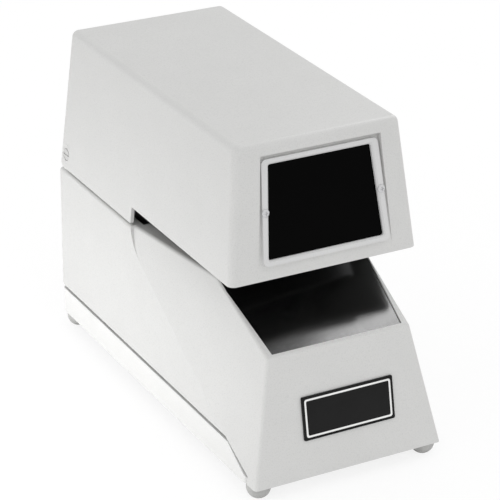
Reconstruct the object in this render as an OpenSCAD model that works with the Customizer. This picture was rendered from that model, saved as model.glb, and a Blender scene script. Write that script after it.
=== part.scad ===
// Electric date and time stamp for a desk.
// X runs to the right, -Y to the front, Z up. The origin lies on the floor, under the middle of the body.

/* [Feet and pan] */
// Height of the rubber feet
foot_h = 9; // [6:0.5:14]
// Diameter of a foot where it meets the pan
foot_d = 16; // [15:0.5:18]
// Distance of a foot's centre from the side of the pan
foot_in_x = 8.5; // [8.5:0.5:14]
// Distance of a foot's centre from the front of the machine, and from its rear
foot_in_y = 10; // [10:0.5:16]
// Full width of the machine, over the pan
pan_w = 139; // [134:0.2:146]
// Thickness of the pan
pan_t = 2; // [1.5:0.1:3]
// Height of the pan's side walls
pan_h = 18.4; // [14:0.2:24]
// Width of the groove between the pan and the base cover
groove = 2; // [1:0.1:3]

/* [Base cover] */
// Full length of the machine, front to rear
length = 290; // [284:1:300]
// Step from the side of the pan in to the side of the base cover
base_in = 0.4; // [0.2:0.1:0.8]
// Wall of the base cover
base_t = 3; // [2:0.1:3.6]
// Height of the rims beside the paper table
deck_z = 120.6; // [118:0.2:124]
// Height of the front panel's top edge
panel_top_z = 90.7; // [86:0.1:94]
// Lean of the front panel from upright, in degrees
panel_lean = 11.7; // [9:0.1:14]
// Slope of the front of the paper table, in degrees
slope = 24.8; // [22:0.1:27]
// Lean of the side facets from upright, in degrees
facet_lean = 14.8; // [12:0.1:15]
// Rise of the crease under a facet, in degrees
crease_rise = 30.1; // [29:0.1:31]
// Distance from the front edge to where the crease starts
crease_in = 10.6; // [9:0.1:12]
// Radius of the curved rear end of a facet
facet_r = 30; // [20:1:40]
// Radius of the base cover's edges
base_edge_r = 2.5; // [1:0.1:3]

/* [Paper table] */
// Thickness of the table plate
table_t = 2; // [1.2:0.1:2.4]
// Depth of the table plate below the rims
table_inset = 0.8; // [0.3:0.1:1.2]
// Width of the rim beside the table at its front edge
rim_front = 22; // [20:0.1:24]
// Width of the rim beside the table under the head
rim_rear = 16.7; // [16:0.1:17.4]
// Distance from the front of the table to where it reaches its full width
table_taper = 50; // [40:1:58]
// Width of the ledge that carries the table
ledge = 1.6; // [1:0.1:2]

/* [Head cover] */
// Height of the head's lower edge above the rims
throat = 13.8; // [12:0.1:16]
// Full height of the machine
height = 221.8; // [219:0.2:226]
// Gap between the head cover and the base cover, behind the slot
seam = 2.4; // [1.6:0.1:3]
// Distance from the rear of the machine to the rear end of the slot
notch_from_rear = 114.5; // [112:0.5:117]
// Distance from the rear of the machine to the front of the head's lower edge
head_l = 252.9; // [250:0.1:258]
// Lean of the head's front face, in degrees
face_lean = 8; // [6:0.1:9]
// Lean of the head's sides, in degrees
side_lean = 5.9; // [4:0.1:6.4]
// Lean of the head's rear face, in degrees
rear_lean = 1.5; // [0.5:0.1:2.5]
// Wall of the head cover
head_t = 2.5; // [2:0.1:3]
// Radius of the head cover's edges
head_edge_r = 5; // [3.5:0.1:6]
// Radius of the lower rear corner, about the pivot
corner_r = 10.5; // [10:0.1:11]
// Sideways offset of the window
window_x = 1.2; // [0:0.1:2]

/* [Window] */
// Depth of the recess at its upper lip
recess_d = 4.5; // [3:0.1:5.5]
// Distance up the face from the lower edge to the recess's lower end
recess_v0 = 6.2; // [5:0.1:7]
// Distance down the face from its top edge to the recess's lip
recess_lip = 8.3; // [7:0.1:9]
// Distance from the side of the base cover in to the recess, at its lip
recess_side_top = 26.1; // [25:0.1:27]
// Distance from the side of the base cover in to the recess, at its lower end
recess_side_low = 20.6; // [19:0.1:21]
// Gap between the recess's side and the frame, at the lip
bezel_gap_top = 1.2; // [1:0.1:2]
// Gap between the recess's side and the frame, at the foot
bezel_gap_low = 2.9; // [2:0.1:3.6]
// Thickness of the frame
bezel_t = 2.5; // [1.6:0.1:3]
// Width of the frame's sides
bezel_side = 4.6; // [4:0.1:5]
// Width of the frame's top and foot
bezel_end = 3.6; // [3:0.1:4]
// Thickness of the black window panel
window_t = 1.5; // [1:0.1:1.6]

/* [Nameplate] */
// Width of the nameplate
plate_w = 66.8; // [60:0.2:70]
// Height of the nameplate
plate_h = 29; // [24:0.2:32]
// Thickness of the nameplate
plate_t = 1.2; // [0.8:0.1:1.6]
// Distance up the panel from its foot to the middle of the nameplate
plate_v = 39.4; // [36:0.2:44]

/* [Frame] */
// Distance from the outside of the base cover in to each frame plate
frame_in_side = 21.1; // [20.8:0.1:21.3]
// Thickness of a frame plate
frame_t = 2.5; // [2:0.1:3]
// Diameter of the tie rods
rod_d = 8; // [6:0.5:9]
// Gap between the top of the frame and the top of the machine
frame_clear = 9.8; // [8.8:0.1:11]

/* [Type wheels] */
// Gap between the ribbon plate and the type
type_over = 5.3; // [5:0.1:6.3]
// Distance from the rear end of the slot forward to the type shaft
type_in = 45.5; // [44:0.1:47]
// Radius of the type wheels over their type
type_r = 26; // [25:0.1:26.2]
// Width of one type wheel
type_w = 7; // [6:0.1:7.4]
// Distance from one type wheel to the next
type_pitch = 8; // [7.8:0.1:8.4]
// Diameter of the type shaft
shaft_d = 8; // [6:0.2:9]
// Module of the gears
gear_m = 1; // [0.98:0.01:1.02]
// Thickness of the gears
gear_t = 4; // [3:0.1:4.4]

/* [Ribbon] */
// Width of the ribbon
ribbon_w = 43; // [40:0.5:44]
// Thickness of the ribbon
ribbon_t = 0.5; // [0.3:0.05:0.6]
// Radius of the spool flanges
spool_r = 17; // [15:0.5:18]
// Height of the spools above the type shaft
spool_up = 12; // [11:0.2:13]
// Distance from the type shaft to each spool
spool_out = 51; // [50.5:0.1:52]

/* [Hammer] */
// Distance of the hammer shaft behind the type shaft
hammer_back = 53; // [52:0.2:54]
// Depth of the hammer shaft below the rims
hammer_drop = 12.6; // [12:0.1:13.2]
// Swing of the hammer, in degrees
swing = 20; // [19:0.1:20.2]
// Width of the hammer pad
pad_w = 44; // [40:0.5:46]
// Length of the hammer pad, front to rear
pad_l = 9; // [7:0.5:9.5]
// Distance from the hammer shaft back to the plunger
plunger_arm = 24; // [22:0.5:25]

/* [Hidden] */
$fn = 64;

// Clearances
play = 0.3;
run = 0.05;
eps = 0.01;

// Main planes
front = -length / 2;
rear = length / 2;
pan_z = foot_h;
groove_low = pan_z + pan_h;
groove_high = groove_low + groove;
base_w = pan_w - 2 * base_in;
notch_y = rear - notch_from_rear;
head_z = deck_z + throat;
skirt_z = deck_z + seam;
face_y = rear - head_l;
recess_v1 = (height - head_z) / cos(face_lean) - recess_lip;
recess_half_top = base_w / 2 - recess_side_top;
recess_half_low = base_w / 2 - recess_side_low;
bezel_half_top = recess_half_top - bezel_gap_top;
bezel_half_low = recess_half_low - bezel_gap_low;
panel_top_y = front + (panel_top_z - pan_z) * tan(panel_lean);
bend_y = panel_top_y + (deck_z - panel_top_z) / tan(slope);
crease_y = front + crease_in;
crease_z = pan_z + 3.66;
pivot_y = rear - corner_r;
pivot_z = skirt_z - 0.5 + corner_r;
table_top = deck_z - table_inset;
table_low = table_top - table_t;
table_half_front = base_w / 2 - rim_front;
table_half_rear = base_w / 2 - rim_rear;

// ---------- Planes and rounded bodies ----------
// A plane is [normal, distance from the origin along that normal].
function unit(v) = v / norm(v);
function plane(n, p) = [unit(n), unit(n) * p];
function sunk(p, by) = [p[0], p[1] - by];
function meet(a, b, c) =
    let (d = a[0] * cross(b[0], c[0]))
    (a[1] * cross(b[0], c[0]) + b[1] * cross(c[0], a[0]) + c[1] * cross(a[0], b[0])) / d;
function flipped(p) = [-p[0], p[1], p[2]];

// A convex body from the corners where three planes meet, mirrored about X, with rounded edges.
module rounded_body(corners, inset, r) {
    hull()
        for (c = corners) {
            at = meet(sunk(c[0], inset + r), sunk(c[1], inset + r), sunk(c[2], inset + r));
            translate(at) sphere(r, $fn = 24);
            translate(flipped(at)) sphere(r, $fn = 24);
        }
}

// A shape drawn as seen from the right side (Y, Z), with thickness along X from x0 to x1
module side_shape(x0, x1) {
    translate([x0, 0, 0]) rotate([90, 0, 90]) linear_extrude(x1 - x0) children();
}

// A rod along X from x0 to x1
module rod_x(d, x0, x1) {
    translate([x0, 0, 0]) rotate([0, 90, 0]) cylinder(d = d, h = x1 - x0);
}

// A box from its lowest to its highest corner
module box(low, high) {
    translate(low) cube(high - low);
}

// A rounded rectangle, centred
module round_rect(w, h, r) {
    square([w - 2 * r, h], center = true);
    square([w, h - 2 * r], center = true);
    for (x = [-1, 1], y = [-1, 1])
        translate([x * (w / 2 - r), y * (h / 2 - r)]) circle(r);
}

module both_sides() {
    children();
    mirror([1, 0, 0]) children();
}

// ---------- Feet and pan ----------
pan_front = crease_y + 0.4;
pan_rear = rear - 1.5;
foot_x = pan_w / 2 - foot_in_x;
foot_ys = [front + foot_in_y, rear - foot_in_y];
foot_screw_d = 3.6;
foot_bore_d = 6.6;
foot_dome = 2.5;
boss_d = 7;
boss_h = 4;
tongue_half = base_w / 2 - base_t - 1.5;
tongue_front = front + base_t + 0.8;
cover_screw_x = base_w / 2 - 9;
cover_screw_ys = [front + 42, rear - 25];
cover_boss_z = 24;
board_z = 24;
board_front = front + 32;
board_gap = 5;
board_post_d = 6;
bushing_x = -36;
bushing_z = pan_z + pan_h / 2 + 0.6;
bushing_d = 12;
bushing_flange_d = 15;
bushing_bore_d = 7;

module at_feet() {
    for (x = [-foot_x, foot_x], y = foot_ys)
        translate([x, y, 0]) children();
}

module at_cover_screws() {
    for (x = [-cover_screw_x, cover_screw_x], y = cover_screw_ys)
        translate([x, y, 0]) children();
}

module at_board_posts() {
    for (x = [-1, 1], y = [-1, 1])
        translate([x * (board_w / 2 - 6), board_y + y * (board_l / 2 - 6), 0]) children();
}

module pan_outline(inset) {
    translate([0, (pan_front + pan_rear) / 2])
        round_rect(pan_w - 2 * inset, pan_rear - pan_front - 2 * inset, 4 - inset);
}

// The side view of the pan's upper edge: level at the rear, falling along the crease in front
module pan_side() {
    polygon([
        [pan_rear + 1, pan_z - 1], [pan_rear + 1, groove_low],
        [crease_y + (groove_low - crease_z) / tan(crease_rise), groove_low],
        [pan_front - 1, crease_z - 0.6], [pan_front - 1, pan_z - 1]
    ]);
}

module base_pan() {
    color([0.92, 0.92, 0.91])
    difference() {
        union() {
            intersection() {
                difference() {
                    translate([0, 0, pan_z]) linear_extrude(pan_h) pan_outline(0);
                    translate([0, 0, pan_z + pan_t]) linear_extrude(pan_h) pan_outline(pan_t);
                }
                side_shape(-pan_w, pan_w) pan_side();
            }
            // Floor under the front panel, which carries the front feet
            box([-tongue_half, tongue_front, pan_z], [tongue_half, pan_front + pan_t, pan_z + pan_t]);
            at_feet() translate([0, 0, pan_z + pan_t - eps]) cylinder(d = boss_d, h = boss_h);
            at_board_posts()
                translate([0, 0, pan_z + pan_t - eps])
                    cylinder(d = board_post_d, h = board_z - pan_z - pan_t + eps);
            // Two pressed ribs stiffen the floor between the feet
            for (x = [-1, 1])
                translate([x * 30, 0, pan_z + pan_t - eps])
                    intersection() {
                        rotate([90, 0, 0]) cylinder(r = 3, h = 70, center = true);
                        translate([-3, -35, 0]) cube([6, 70, 3]);
                    }
        }
        at_feet() cylinder(d = foot_screw_d, h = 60, center = true);
        at_cover_screws() translate([0, 0, pan_z - 1]) cylinder(d = 4.4, h = pan_t + 2);
        at_frame_feet() translate([0, 0, pan_z - 1]) cylinder(d = rod_screw_d, h = pan_t + 2);
        translate([bushing_x, pan_rear + 1, bushing_z])
            rotate([90, 0, 0]) cylinder(d = bushing_d, h = pan_t + 2);
        // Cooling slots in the floor
        for (i = [-3:3])
            translate([i * 9 - 1.5, 20, pan_z - 1]) cube([3, 34, pan_t + 2]);
    }
}

module rubber_feet() {
    color([0.62, 0.62, 0.60])
    at_feet()
        difference() {
            rotate_extrude()
                intersection() {
                    union() {
                        translate([0, foot_h - foot_dome]) square([foot_d / 2, foot_dome]);
                        translate([0, foot_h - foot_dome]) circle(foot_d / 2);
                    }
                    square([foot_d / 2, foot_h]);
                }
            translate([0, 0, -1]) cylinder(d = foot_bore_d, h = 5);
            cylinder(d = foot_screw_d + 2 * run, h = 30);
        }
}

module foot_screws() {
    color([0.75, 0.75, 0.76])
    at_feet()
        difference() {
            union() {
                translate([0, 0, 2]) cylinder(d = foot_bore_d - 2 * play, h = 2);
                translate([0, 0, 3.9]) cylinder(d = foot_screw_d - 2 * run, h = foot_h + pan_t + boss_h - 3.3);
            }
            translate([0, 0, 1.9]) cylinder(d = 3, h = 1.2, $fn = 6);
        }
}

module cord_bushing() {
    color([0.08, 0.08, 0.08])
    translate([bushing_x, pan_rear, bushing_z]) rotate([-90, 0, 0])
        rotate_extrude()
            polygon([
                [bushing_bore_d / 2, -pan_t - 1.5], [bushing_flange_d / 2, -pan_t - 1.5],
                [bushing_flange_d / 2, -pan_t], [bushing_d / 2, -pan_t],
                [bushing_d / 2, 0], [bushing_flange_d / 2, 0],
                [bushing_flange_d / 2 - 0.5, 1.5], [bushing_bore_d / 2, 1.5]
            ]);
}

// ---------- Base cover ----------
p_side = plane([1, 0, 0], [base_w / 2, 0, 0]);
p_rear = plane([0, 1, 0], [0, rear, 0]);
p_deck = plane([0, 0, 1], [0, 0, deck_z]);
p_slope = plane([0, -sin(slope), cos(slope)], [0, panel_top_y, panel_top_z]);
p_panel = plane([0, -cos(panel_lean), sin(panel_lean)], [0, front, pan_z]);
p_foot = plane([0, 0, -1], [0, 0, -14]);
p_facet = plane(
    [cos(facet_lean), -sin(facet_lean) * sin(crease_rise), sin(facet_lean) * cos(crease_rise)],
    [base_w / 2, crease_y, crease_z]
);
base_corners = [
    [p_side, p_rear, p_deck], [p_side, p_rear, p_foot], [p_side, p_facet, p_deck],
    [p_facet, p_slope, p_deck], [p_facet, p_slope, p_panel], [p_side, p_facet, p_panel],
    [p_side, p_panel, p_foot]
];

// The rear end of a facet is an arc from the crease to upright, ending at facet_end_y
facet_end_y = notch_y + 0.5;
arc_y = facet_end_y - facet_r;
arc_start_y = arc_y + facet_r * sin(crease_rise);
arc_start_z = crease_z + (arc_start_y - crease_y) * tan(crease_rise);
arc_z = arc_start_z + facet_r * cos(crease_rise);

// The part of the side that stays upright behind a facet
module upright_side() {
    difference() {
        polygon([
            [arc_start_y, arc_start_z], [arc_start_y, arc_start_z - 20], [rear - 40, arc_start_z - 20],
            [rear - 40, deck_z], [arc_y, deck_z], [arc_y, arc_start_z]
        ]);
        translate([arc_y, arc_z]) circle(facet_r, $fn = 96);
        polygon([[arc_y - 1, arc_z], [facet_end_y, arc_z], [facet_end_y, arc_z + 40], [arc_y - 1, arc_z + 40]]);
        polygon([
            [arc_y - 1, arc_start_z + 0.1], [arc_start_y, arc_start_z + 0.1],
            [arc_y, arc_z], [arc_y - 1, arc_z]
        ]);
    }
}

// Section across the upper edge of that part, with the facets of the cover's other rounded edges
module upper_edge_section() {
    flat = base_edge_r * cos(7.5);
    translate([base_w / 2 - base_edge_r, deck_z - base_edge_r])
        hull() {
            rotate(7.5) circle(base_edge_r, $fn = 24);
            translate([-9, -deck_z]) square([9 + flat, 1]);
            translate([-9, -1]) square([1, 1 + flat]);
        }
}

// Everything above this side view belongs to the cover; below it is the groove, then the pan
module cover_side() {
    crease_edge_y = crease_y + (groove_high - crease_z) / tan(crease_rise);
    polygon([
        [rear + 1, groove_high], [crease_edge_y, groove_high],
        [crease_y, crease_z + groove / cos(crease_rise) - groove * 0.15],
        [pan_front - play, crease_z + 1.2], [pan_front - play, pan_z],
        [front - 5, pan_z], [front - 5, deck_z + 5], [rear + 1, deck_z + 5]
    ]);
}

// Points of the surface at a depth below the rims: front, bend, rear (Y, Z)
function layer_point(y, depth) =
    let (by = bend_y + depth * tan(slope / 2))
    y < by ? [y, deck_z - depth - (by - y) * tan(slope)] : [y, deck_z - depth];

// A bent layer between two depths, seen from the side
module layer_side(y0, y1, depth0, depth1) {
    polygon([
        layer_point(y0, depth0), [bend_y + depth0 * tan(slope / 2), deck_z - depth0], layer_point(y1, depth0),
        layer_point(y1, depth1), [bend_y + depth1 * tan(slope / 2), deck_z - depth1], layer_point(y0, depth1)
    ]);
}

table_front = panel_top_y + 3;
table_rear = notch_y - 1.2;

module table_plan(grow) {
    y0 = table_front - grow;
    y1 = table_rear + grow;
    yt = table_front + table_taper;
    polygon([
        [-table_half_front - grow, y0], [table_half_front + grow, y0],
        [table_half_rear + grow, yt], [table_half_rear + grow, y1],
        [-table_half_rear - grow, y1], [-table_half_rear - grow, yt]
    ]);
}

module table_layer(depth0, depth1, grow) {
    intersection() {
        translate([0, 0, pan_z]) linear_extrude(deck_z) table_plan(grow);
        side_shape(-base_w, base_w) layer_side(table_front - 10, table_rear + 10, depth0, depth1);
    }
}

neck_half = base_w / 2 - 9;
neck_front = table_rear - 0.4;

module base_cover() {
    color([0.85, 0.85, 0.84])
    difference() {
        union() {
            intersection() {
                difference() {
                    union() {
                        rounded_body(base_corners, 0, base_edge_r);
                        both_sides()
                            intersection() {
                                side_shape(base_w / 2 - 12, base_w / 2 + 1) upright_side();
                                translate([0, rear, 0])
                                    rotate([90, 0, 0]) linear_extrude(length) upper_edge_section();
                            }
                    }
                    rounded_body(base_corners, base_t, 1);
                }
                side_shape(-base_w, base_w) cover_side();
            }
            // Bosses for the screws that come up through the pan
            at_cover_screws()
                translate([0, 0, cover_boss_z]) {
                    cylinder(d = 8, h = 16);
                    translate([-4, -2, 0]) cube([8, 4, 16]);
                }
            both_sides()
                for (y = cover_screw_ys)
                    translate([cover_screw_x, y - 1.5, groove_high + 1])
                        cube([base_w / 2 - base_t - cover_screw_x + 0.5, 3, cover_boss_z + 15 - groove_high]);
        }
        // Opening for the paper table, with a ledge round it
        table_layer(-5, table_inset + table_t, play);
        table_layer(table_inset, table_inset + table_t + 12, -ledge);
        // The rear end of the table lies on the frame, so no ledge runs there
        box(
            [-table_half_rear + ledge, table_rear - ledge - 1, deck_z - 12],
            [table_half_rear - ledge, neck_front + 1, table_low]
        );
        // Opening for the frame, behind the table
        box([-neck_half, neck_front, deck_z - 12], [neck_half, rear - base_t - 4, deck_z + 5]);
        at_cover_screws() translate([0, 0, cover_boss_z - 1]) cylinder(d = 3, h = 14);
        // Cooling slots in the rear wall
        for (i = [-4:4])
            translate([i * 9 - 1.5, rear - base_t - 1, deck_z - 62]) cube([3, base_t + 2, 40]);
    }
}

module cover_screws() {
    color([0.75, 0.75, 0.76])
    at_cover_screws() {
        translate([0, 0, pan_z - 2]) cylinder(d = 7, h = 2);
        translate([0, 0, pan_z - 0.5]) cylinder(d = 3 - 2 * run, h = cover_boss_z + 10 - pan_z);
    }
}

// ---------- Paper table ----------
type_y = notch_y - type_in;
hammer_y = type_y + hammer_back;
hammer_z = deck_z - hammer_drop;
stop_x = 28;
stop_travel = 12;
stop_t = 1.5;
stop_y = notch_y - 3.5;
trigger_x = 14;
trigger_w = 5;
slot_w = 6.4;
arm_w = 4;
arm_slot_w = arm_w + 2;
window_l = 24;
window_w = pad_w + 5;
window_y = type_y - 3.5;

module paper_table() {
    color([0.07, 0.07, 0.07])
    difference() {
        table_layer(table_inset, table_inset + table_t, 0);
        // Window for the hammer's pad, and the slot for its arm
        box(
            [-window_w / 2, window_y - window_l / 2, table_low - 1],
            [window_w / 2, window_y + window_l / 2, table_top + 1]
        );
        box([-arm_slot_w / 2, window_y, table_low - 1], [arm_slot_w / 2, hammer_y - 10, table_top + 1]);
        // Slots for the stop's two stems, and the wider one for the trigger
        for (x = [-stop_x, stop_x])
            box(
                [x - slot_w / 2, stop_y - stop_travel - 2, table_low - 1],
                [x + slot_w / 2, table_rear + 1, table_top + 1]
            );
        box(
            [trigger_x - slot_w / 2, stop_y - stop_travel - 9, table_low - 1],
            [trigger_x + slot_w / 2, table_rear + 1, table_top + 1]
        );
    }
}

// ---------- Nameplate ----------
plate_x = 2;

module on_panel(u, v) {
    translate([u, front, pan_z]) rotate([90 - panel_lean, 0, 0]) translate([0, v, 0]) children();
}

module nameplate() {
    color([0.06, 0.06, 0.06])
    on_panel(plate_x, plate_v)
        difference() {
            linear_extrude(plate_t) round_rect(plate_w, plate_h, 1);
            translate([0, 0, plate_t - 0.3])
                linear_extrude(1)
                    difference() {
                        round_rect(plate_w - 4, plate_h - 4, 1.5);
                        round_rect(plate_w - 5.8, plate_h - 5.8, 1);
                    }
        }
}

// ---------- Frame ----------
frame_in = base_w / 2 - frame_in_side;
frame_top = height - frame_clear;
frame_out = frame_in + frame_t;
frame_low = pan_z + pan_t;
frame_front = type_y - 41;
frame_rear = rear - 23;
head_frame_front = type_y - 63;
head_frame_low = head_z + 2.6;
neck_frame_front = notch_y + 3.5;
ribbon_plate_z = head_z + 0.8;
ribbon_plate_t = 1.5;
type_z = ribbon_plate_z + ribbon_plate_t + type_over + type_r;
spool_z = type_z + spool_up;
spool_in = ribbon_w / 2 + play;
flange_t = 1.4;
spool_ys = [type_y - spool_out, type_y + spool_out];
gear_r = gear_m * 48 / 2;
pinion_r = gear_m * 12 / 2;
idler_y = type_y + 2 * gear_r;
motor_y = idler_y + gear_r + pinion_r;
solenoid_y = hammer_y + plunger_arm;

// Middle of each tie rod (Y, Z)
rods = [
    [frame_front + 16, frame_low + 17], [frame_rear - 12, frame_low + 62], [frame_front + 12, deck_z - 22],
    [head_frame_front + 7, head_z + 15], [type_y - 28, frame_top - 5.5], [frame_rear - 14, frame_top - 14],
    [frame_rear - 10, head_z + 20]
];
rod_screw_d = 3;
board_rear = rods[0][0] - rod_d / 2 - board_gap;
board_l = board_rear - board_front;
board_w = 2 * (frame_in - board_gap - 1);
board_y = (board_front + board_rear) / 2;
frame_foot = 7;
pivot_boss_x = base_w / 2 - head_t - 2.4;

module at_frame_feet() {
    for (x = [-1, 1], y = [frame_front + 40, frame_rear - 40])
        translate([x * (frame_out + frame_foot / 2 + 0.4), y, 0]) children();
}

module frame_side() {
    difference() {
        union() {
            // Below the table, cut off under its slope
            intersection() {
                translate([frame_front, frame_low])
                    square([neck_frame_front - frame_front, table_low - frame_low]);
                layer_side(frame_front - 60, neck_frame_front + 1, table_inset + table_t, deck_z);
            }
            polygon([
                [neck_frame_front - 1, frame_low], [frame_rear, frame_low], [frame_rear, frame_top - 10],
                [frame_rear - 10, frame_top], [head_frame_front + 12, frame_top],
                [head_frame_front, frame_top - 16], [head_frame_front, head_frame_low],
                [neck_frame_front, head_frame_low], [neck_frame_front, table_low], [neck_frame_front - 1, table_low]
            ]);
            // Ear that carries the cover's pivot
            polygon([
                [frame_rear - 6, pivot_z], [pivot_y, pivot_z], [pivot_y + 3, pivot_z + 6],
                [pivot_y - 2, pivot_z + 9], [frame_rear - 6, pivot_z + 20]
            ]);
            translate([pivot_y, pivot_z]) circle(7);
        }
        // Windows that lighten the plate
        box_2d([frame_front + 30, frame_low + 28], [hammer_y - 18, table_low - 22], 6);
        box_2d([motor_y + 4, head_z - 16], [frame_rear - 18, head_z + 8], 4);
        translate([type_y, type_z]) circle(6);
        for (y = spool_ys)
            translate([y, spool_z]) circle(2.5);
        for (r = rods)
            translate(r) circle(rod_screw_d / 2 + 0.2);
        translate([hammer_y, hammer_z]) circle(3);
    }
}

// A rectangle with rounded corners from its lowest to its highest corner
module box_2d(low, high, r) {
    translate((low + high) / 2) round_rect(high[0] - low[0], high[1] - low[1], r);
}

// The right-hand plate, with the bent foot that stands on the pan and the boss for the pivot screw
module frame_plate() {
    difference() {
        union() {
            side_shape(frame_in, frame_out) frame_side();
            box([frame_in, frame_front, frame_low], [frame_out + frame_foot, frame_rear, frame_low + frame_t]);
            translate([0, pivot_y, pivot_z]) rod_x(13, frame_in + 1, pivot_boss_x);
        }
        at_frame_feet() cylinder(d = rod_screw_d, h = 20);
        translate([0, pivot_y, pivot_z]) rod_x(5, frame_in - 1, pivot_boss_x + 1);
    }
}

module frame_left() {
    color([0.68, 0.69, 0.70])
    difference() {
        mirror([1, 0, 0]) frame_plate();
        translate([0, idler_y, type_z]) rod_x(5, -frame_out - 1, -frame_in + 1);
        translate([0, motor_y, type_z]) rod_x(12, -frame_out - 1, -frame_in + 1);
    }
}

module frame_right() {
    color([0.68, 0.69, 0.70]) {
        frame_plate();
        // Tab that the lock's cam turns under
        box([frame_out - eps, lock_y + 12, lock_z + 5.5], [frame_out + 7, lock_y + 24, lock_z + 7.5]);
    }
}

module tie_rods() {
    color([0.75, 0.75, 0.76])
    for (r = rods)
        translate([0, r[0], r[1]])
            difference() {
                rod_x(rod_d, -frame_in, frame_in);
                for (s = [-1, 1])
                    translate([s * (frame_in - 6), 0, 0]) rod_x(rod_screw_d, -6 - eps, 6 + eps);
            }
}

module frame_screws() {
    color([0.55, 0.55, 0.56])
    both_sides()
        for (r = rods)
            translate([0, r[0], r[1]]) {
                rod_x(rod_screw_d - 2 * run, frame_out - 9, frame_out + eps);
                difference() {
                    rod_x(6, frame_out, frame_out + 2);
                    box([frame_out + 1.2, -4, -0.5], [frame_out + 3, 4, 0.5]);
                }
            }
    // The same screws hold the bent feet to the pan
    color([0.55, 0.55, 0.56])
    at_frame_feet()
        translate([0, 0, frame_low + frame_t]) {
            translate([0, 0, -frame_t - pan_t + 0.2]) cylinder(d = rod_screw_d - 2 * run, h = frame_t + pan_t);
            difference() {
                cylinder(d = 5.6, h = 2);
                box([-4, -0.5, 1.2], [4, 0.5, 3]);
            }
        }
}

// Plate under the type wheels that keeps forms off the ribbon
aperture_w = pad_w + 5;
aperture_l = 20;

module ribbon_plate() {
    y0 = head_frame_front + 1;
    y1 = notch_y - 1;
    z1 = ribbon_plate_z + ribbon_plate_t;
    color([0.70, 0.71, 0.72])
    difference() {
        union() {
            box([-frame_in, y0, ribbon_plate_z], [frame_in, y1, z1]);
            both_sides()
                box([frame_in - ribbon_plate_t, y0 + 14, ribbon_plate_z], [frame_in, y1, z1 + 12]);
            // Front edge turned up to lead the form in
            box([-frame_in, y0, ribbon_plate_z], [frame_in, y0 + 1.5, z1 + 4]);
        }
        box(
            [-aperture_w / 2, type_y - aperture_l / 2, ribbon_plate_z - 1],
            [aperture_w / 2, type_y + aperture_l / 2, z1 + 1]
        );
        for (y = guide_ys)
            translate([0, y, guide_z]) rod_x(2 * guide_r + 2 * run, -frame_in - 1, frame_in + 1);
    }
}

// ---------- Type wheels ----------
module on_type_shaft(x) {
    translate([x, type_y, type_z]) children();
}

module type_shaft() {
    color([0.78, 0.78, 0.80])
    on_type_shaft(0) {
        rod_x(shaft_d, -frame_out - 8, frame_out + 4);
        // Collar and groove ring outside the right frame
        rod_x(shaft_d + 5, frame_out + 1.8, frame_out + 3.4);
    }
}

module shaft_bushes() {
    color([0.72, 0.56, 0.30])
    both_sides()
        on_type_shaft(0)
            difference() {
                union() {
                    rod_x(12, frame_in, frame_out);
                    rod_x(16, frame_out, frame_out + 1.4);
                }
                rod_x(shaft_d + 2 * run, frame_in - 1, frame_out + 3);
            }
}

// A wheel with count raised type faces round its rim; loose wheels run on the shaft
module type_wheel(x, count, bore) {
    rim_r = type_r - 1.6;
    face_w = min(5.2, 2 * PI * type_r / count * 0.62);
    on_type_shaft(x)
        difference() {
            union() {
                rod_x(2 * rim_r, -type_w / 2, type_w / 2);
                for (i = [0:count - 1])
                    rotate([i * 360 / count, 0, 0])
                        translate([-type_w / 2 + 0.7, -face_w / 2, -type_r]) cube([type_w - 1.4, face_w, 3]);
                // Hub, a little wider than the rim, so that the wheels turn clear of each other
                rod_x(shaft_d + 8, -type_pitch / 2 + 0.15, type_pitch / 2 - 0.15);
            }
            rod_x(bore, -type_pitch, type_pitch);
            // Turned hollow in each face, and six round holes in the web
            for (s = [-1, 1])
                difference() {
                    translate([s * (type_w / 2 - 0.9), 0, 0]) rod_x(2 * rim_r - 8, -0.9 - eps, 0.9 + eps);
                    rod_x(shaft_d + 8, -type_w, type_w);
                }
            for (i = [0:5])
                rotate([i * 60, 0, 0]) translate([0, 0, 14]) rod_x(6, -type_w, type_w);
        }
}

loose_bore = shaft_d + 2 * run;

module month_wheel() {
    color([0.80, 0.66, 0.34]) type_wheel(-2 * type_pitch, 12, loose_bore);
}

module day_wheel() {
    color([0.80, 0.66, 0.34]) type_wheel(-type_pitch, 31, loose_bore);
}

module year_wheel() {
    color([0.80, 0.66, 0.34]) type_wheel(0, 12, loose_bore);
}

module hour_wheel() {
    color([0.80, 0.66, 0.34]) type_wheel(type_pitch, 24, loose_bore);
}

module minute_wheel() {
    color([0.80, 0.66, 0.34]) type_wheel(2 * type_pitch, 60, shaft_d);
}

// Bar with one leaf spring to each wheel, turned back from the top of the wheels
detent_turn = 50;

module wheel_detents() {
    bar = type_r + 6;
    tip = type_r + play;
    color([0.60, 0.61, 0.63])
    on_type_shaft(0) rotate([-detent_turn, 0, 0]) {
        box([-frame_in, -3, bar], [frame_in, 3, bar + 5]);
        for (i = [-2:2])
            side_shape(i * type_pitch - 2.5, i * type_pitch + 2.5)
                polygon([
                    [3, bar], [3, bar + 4], [3.8, bar + 4], [3.8, bar - 2],
                    [0.8, tip + 0.6], [0.4, tip], [-0.6, tip], [-1, tip + 1.4]
                ]);
    }
}

// ---------- Gears ----------
// Involute tooth flank: the angle by which the flank has fallen back at radius r
function inv_angle(rb, r) = let (a = acos(rb / r)) tan(a) * 180 / PI - a;

function tooth(teeth, m, k) =
    let (
        rp = m * teeth / 2, rb = rp * cos(20), ro = rp + 0.9 * m, ri = rp - 1.2 * m,
        half = 90 / teeth - 0.07 * 180 / PI / rp + inv_angle(rb, rp),
        r0 = max(rb, ri) + 0.01, mid = k * 360 / teeth,
        up = [for (i = [0:4]) r0 + (ro - r0) * i / 4]
    )
    concat(
        [[ri, mid - half]],
        [for (r = up) [r, mid - half + inv_angle(rb, r)]],
        [for (i = [4:-1:0]) [up[i], mid + half - inv_angle(rb, up[i])]],
        [[ri, mid + half]]
    );

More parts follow.
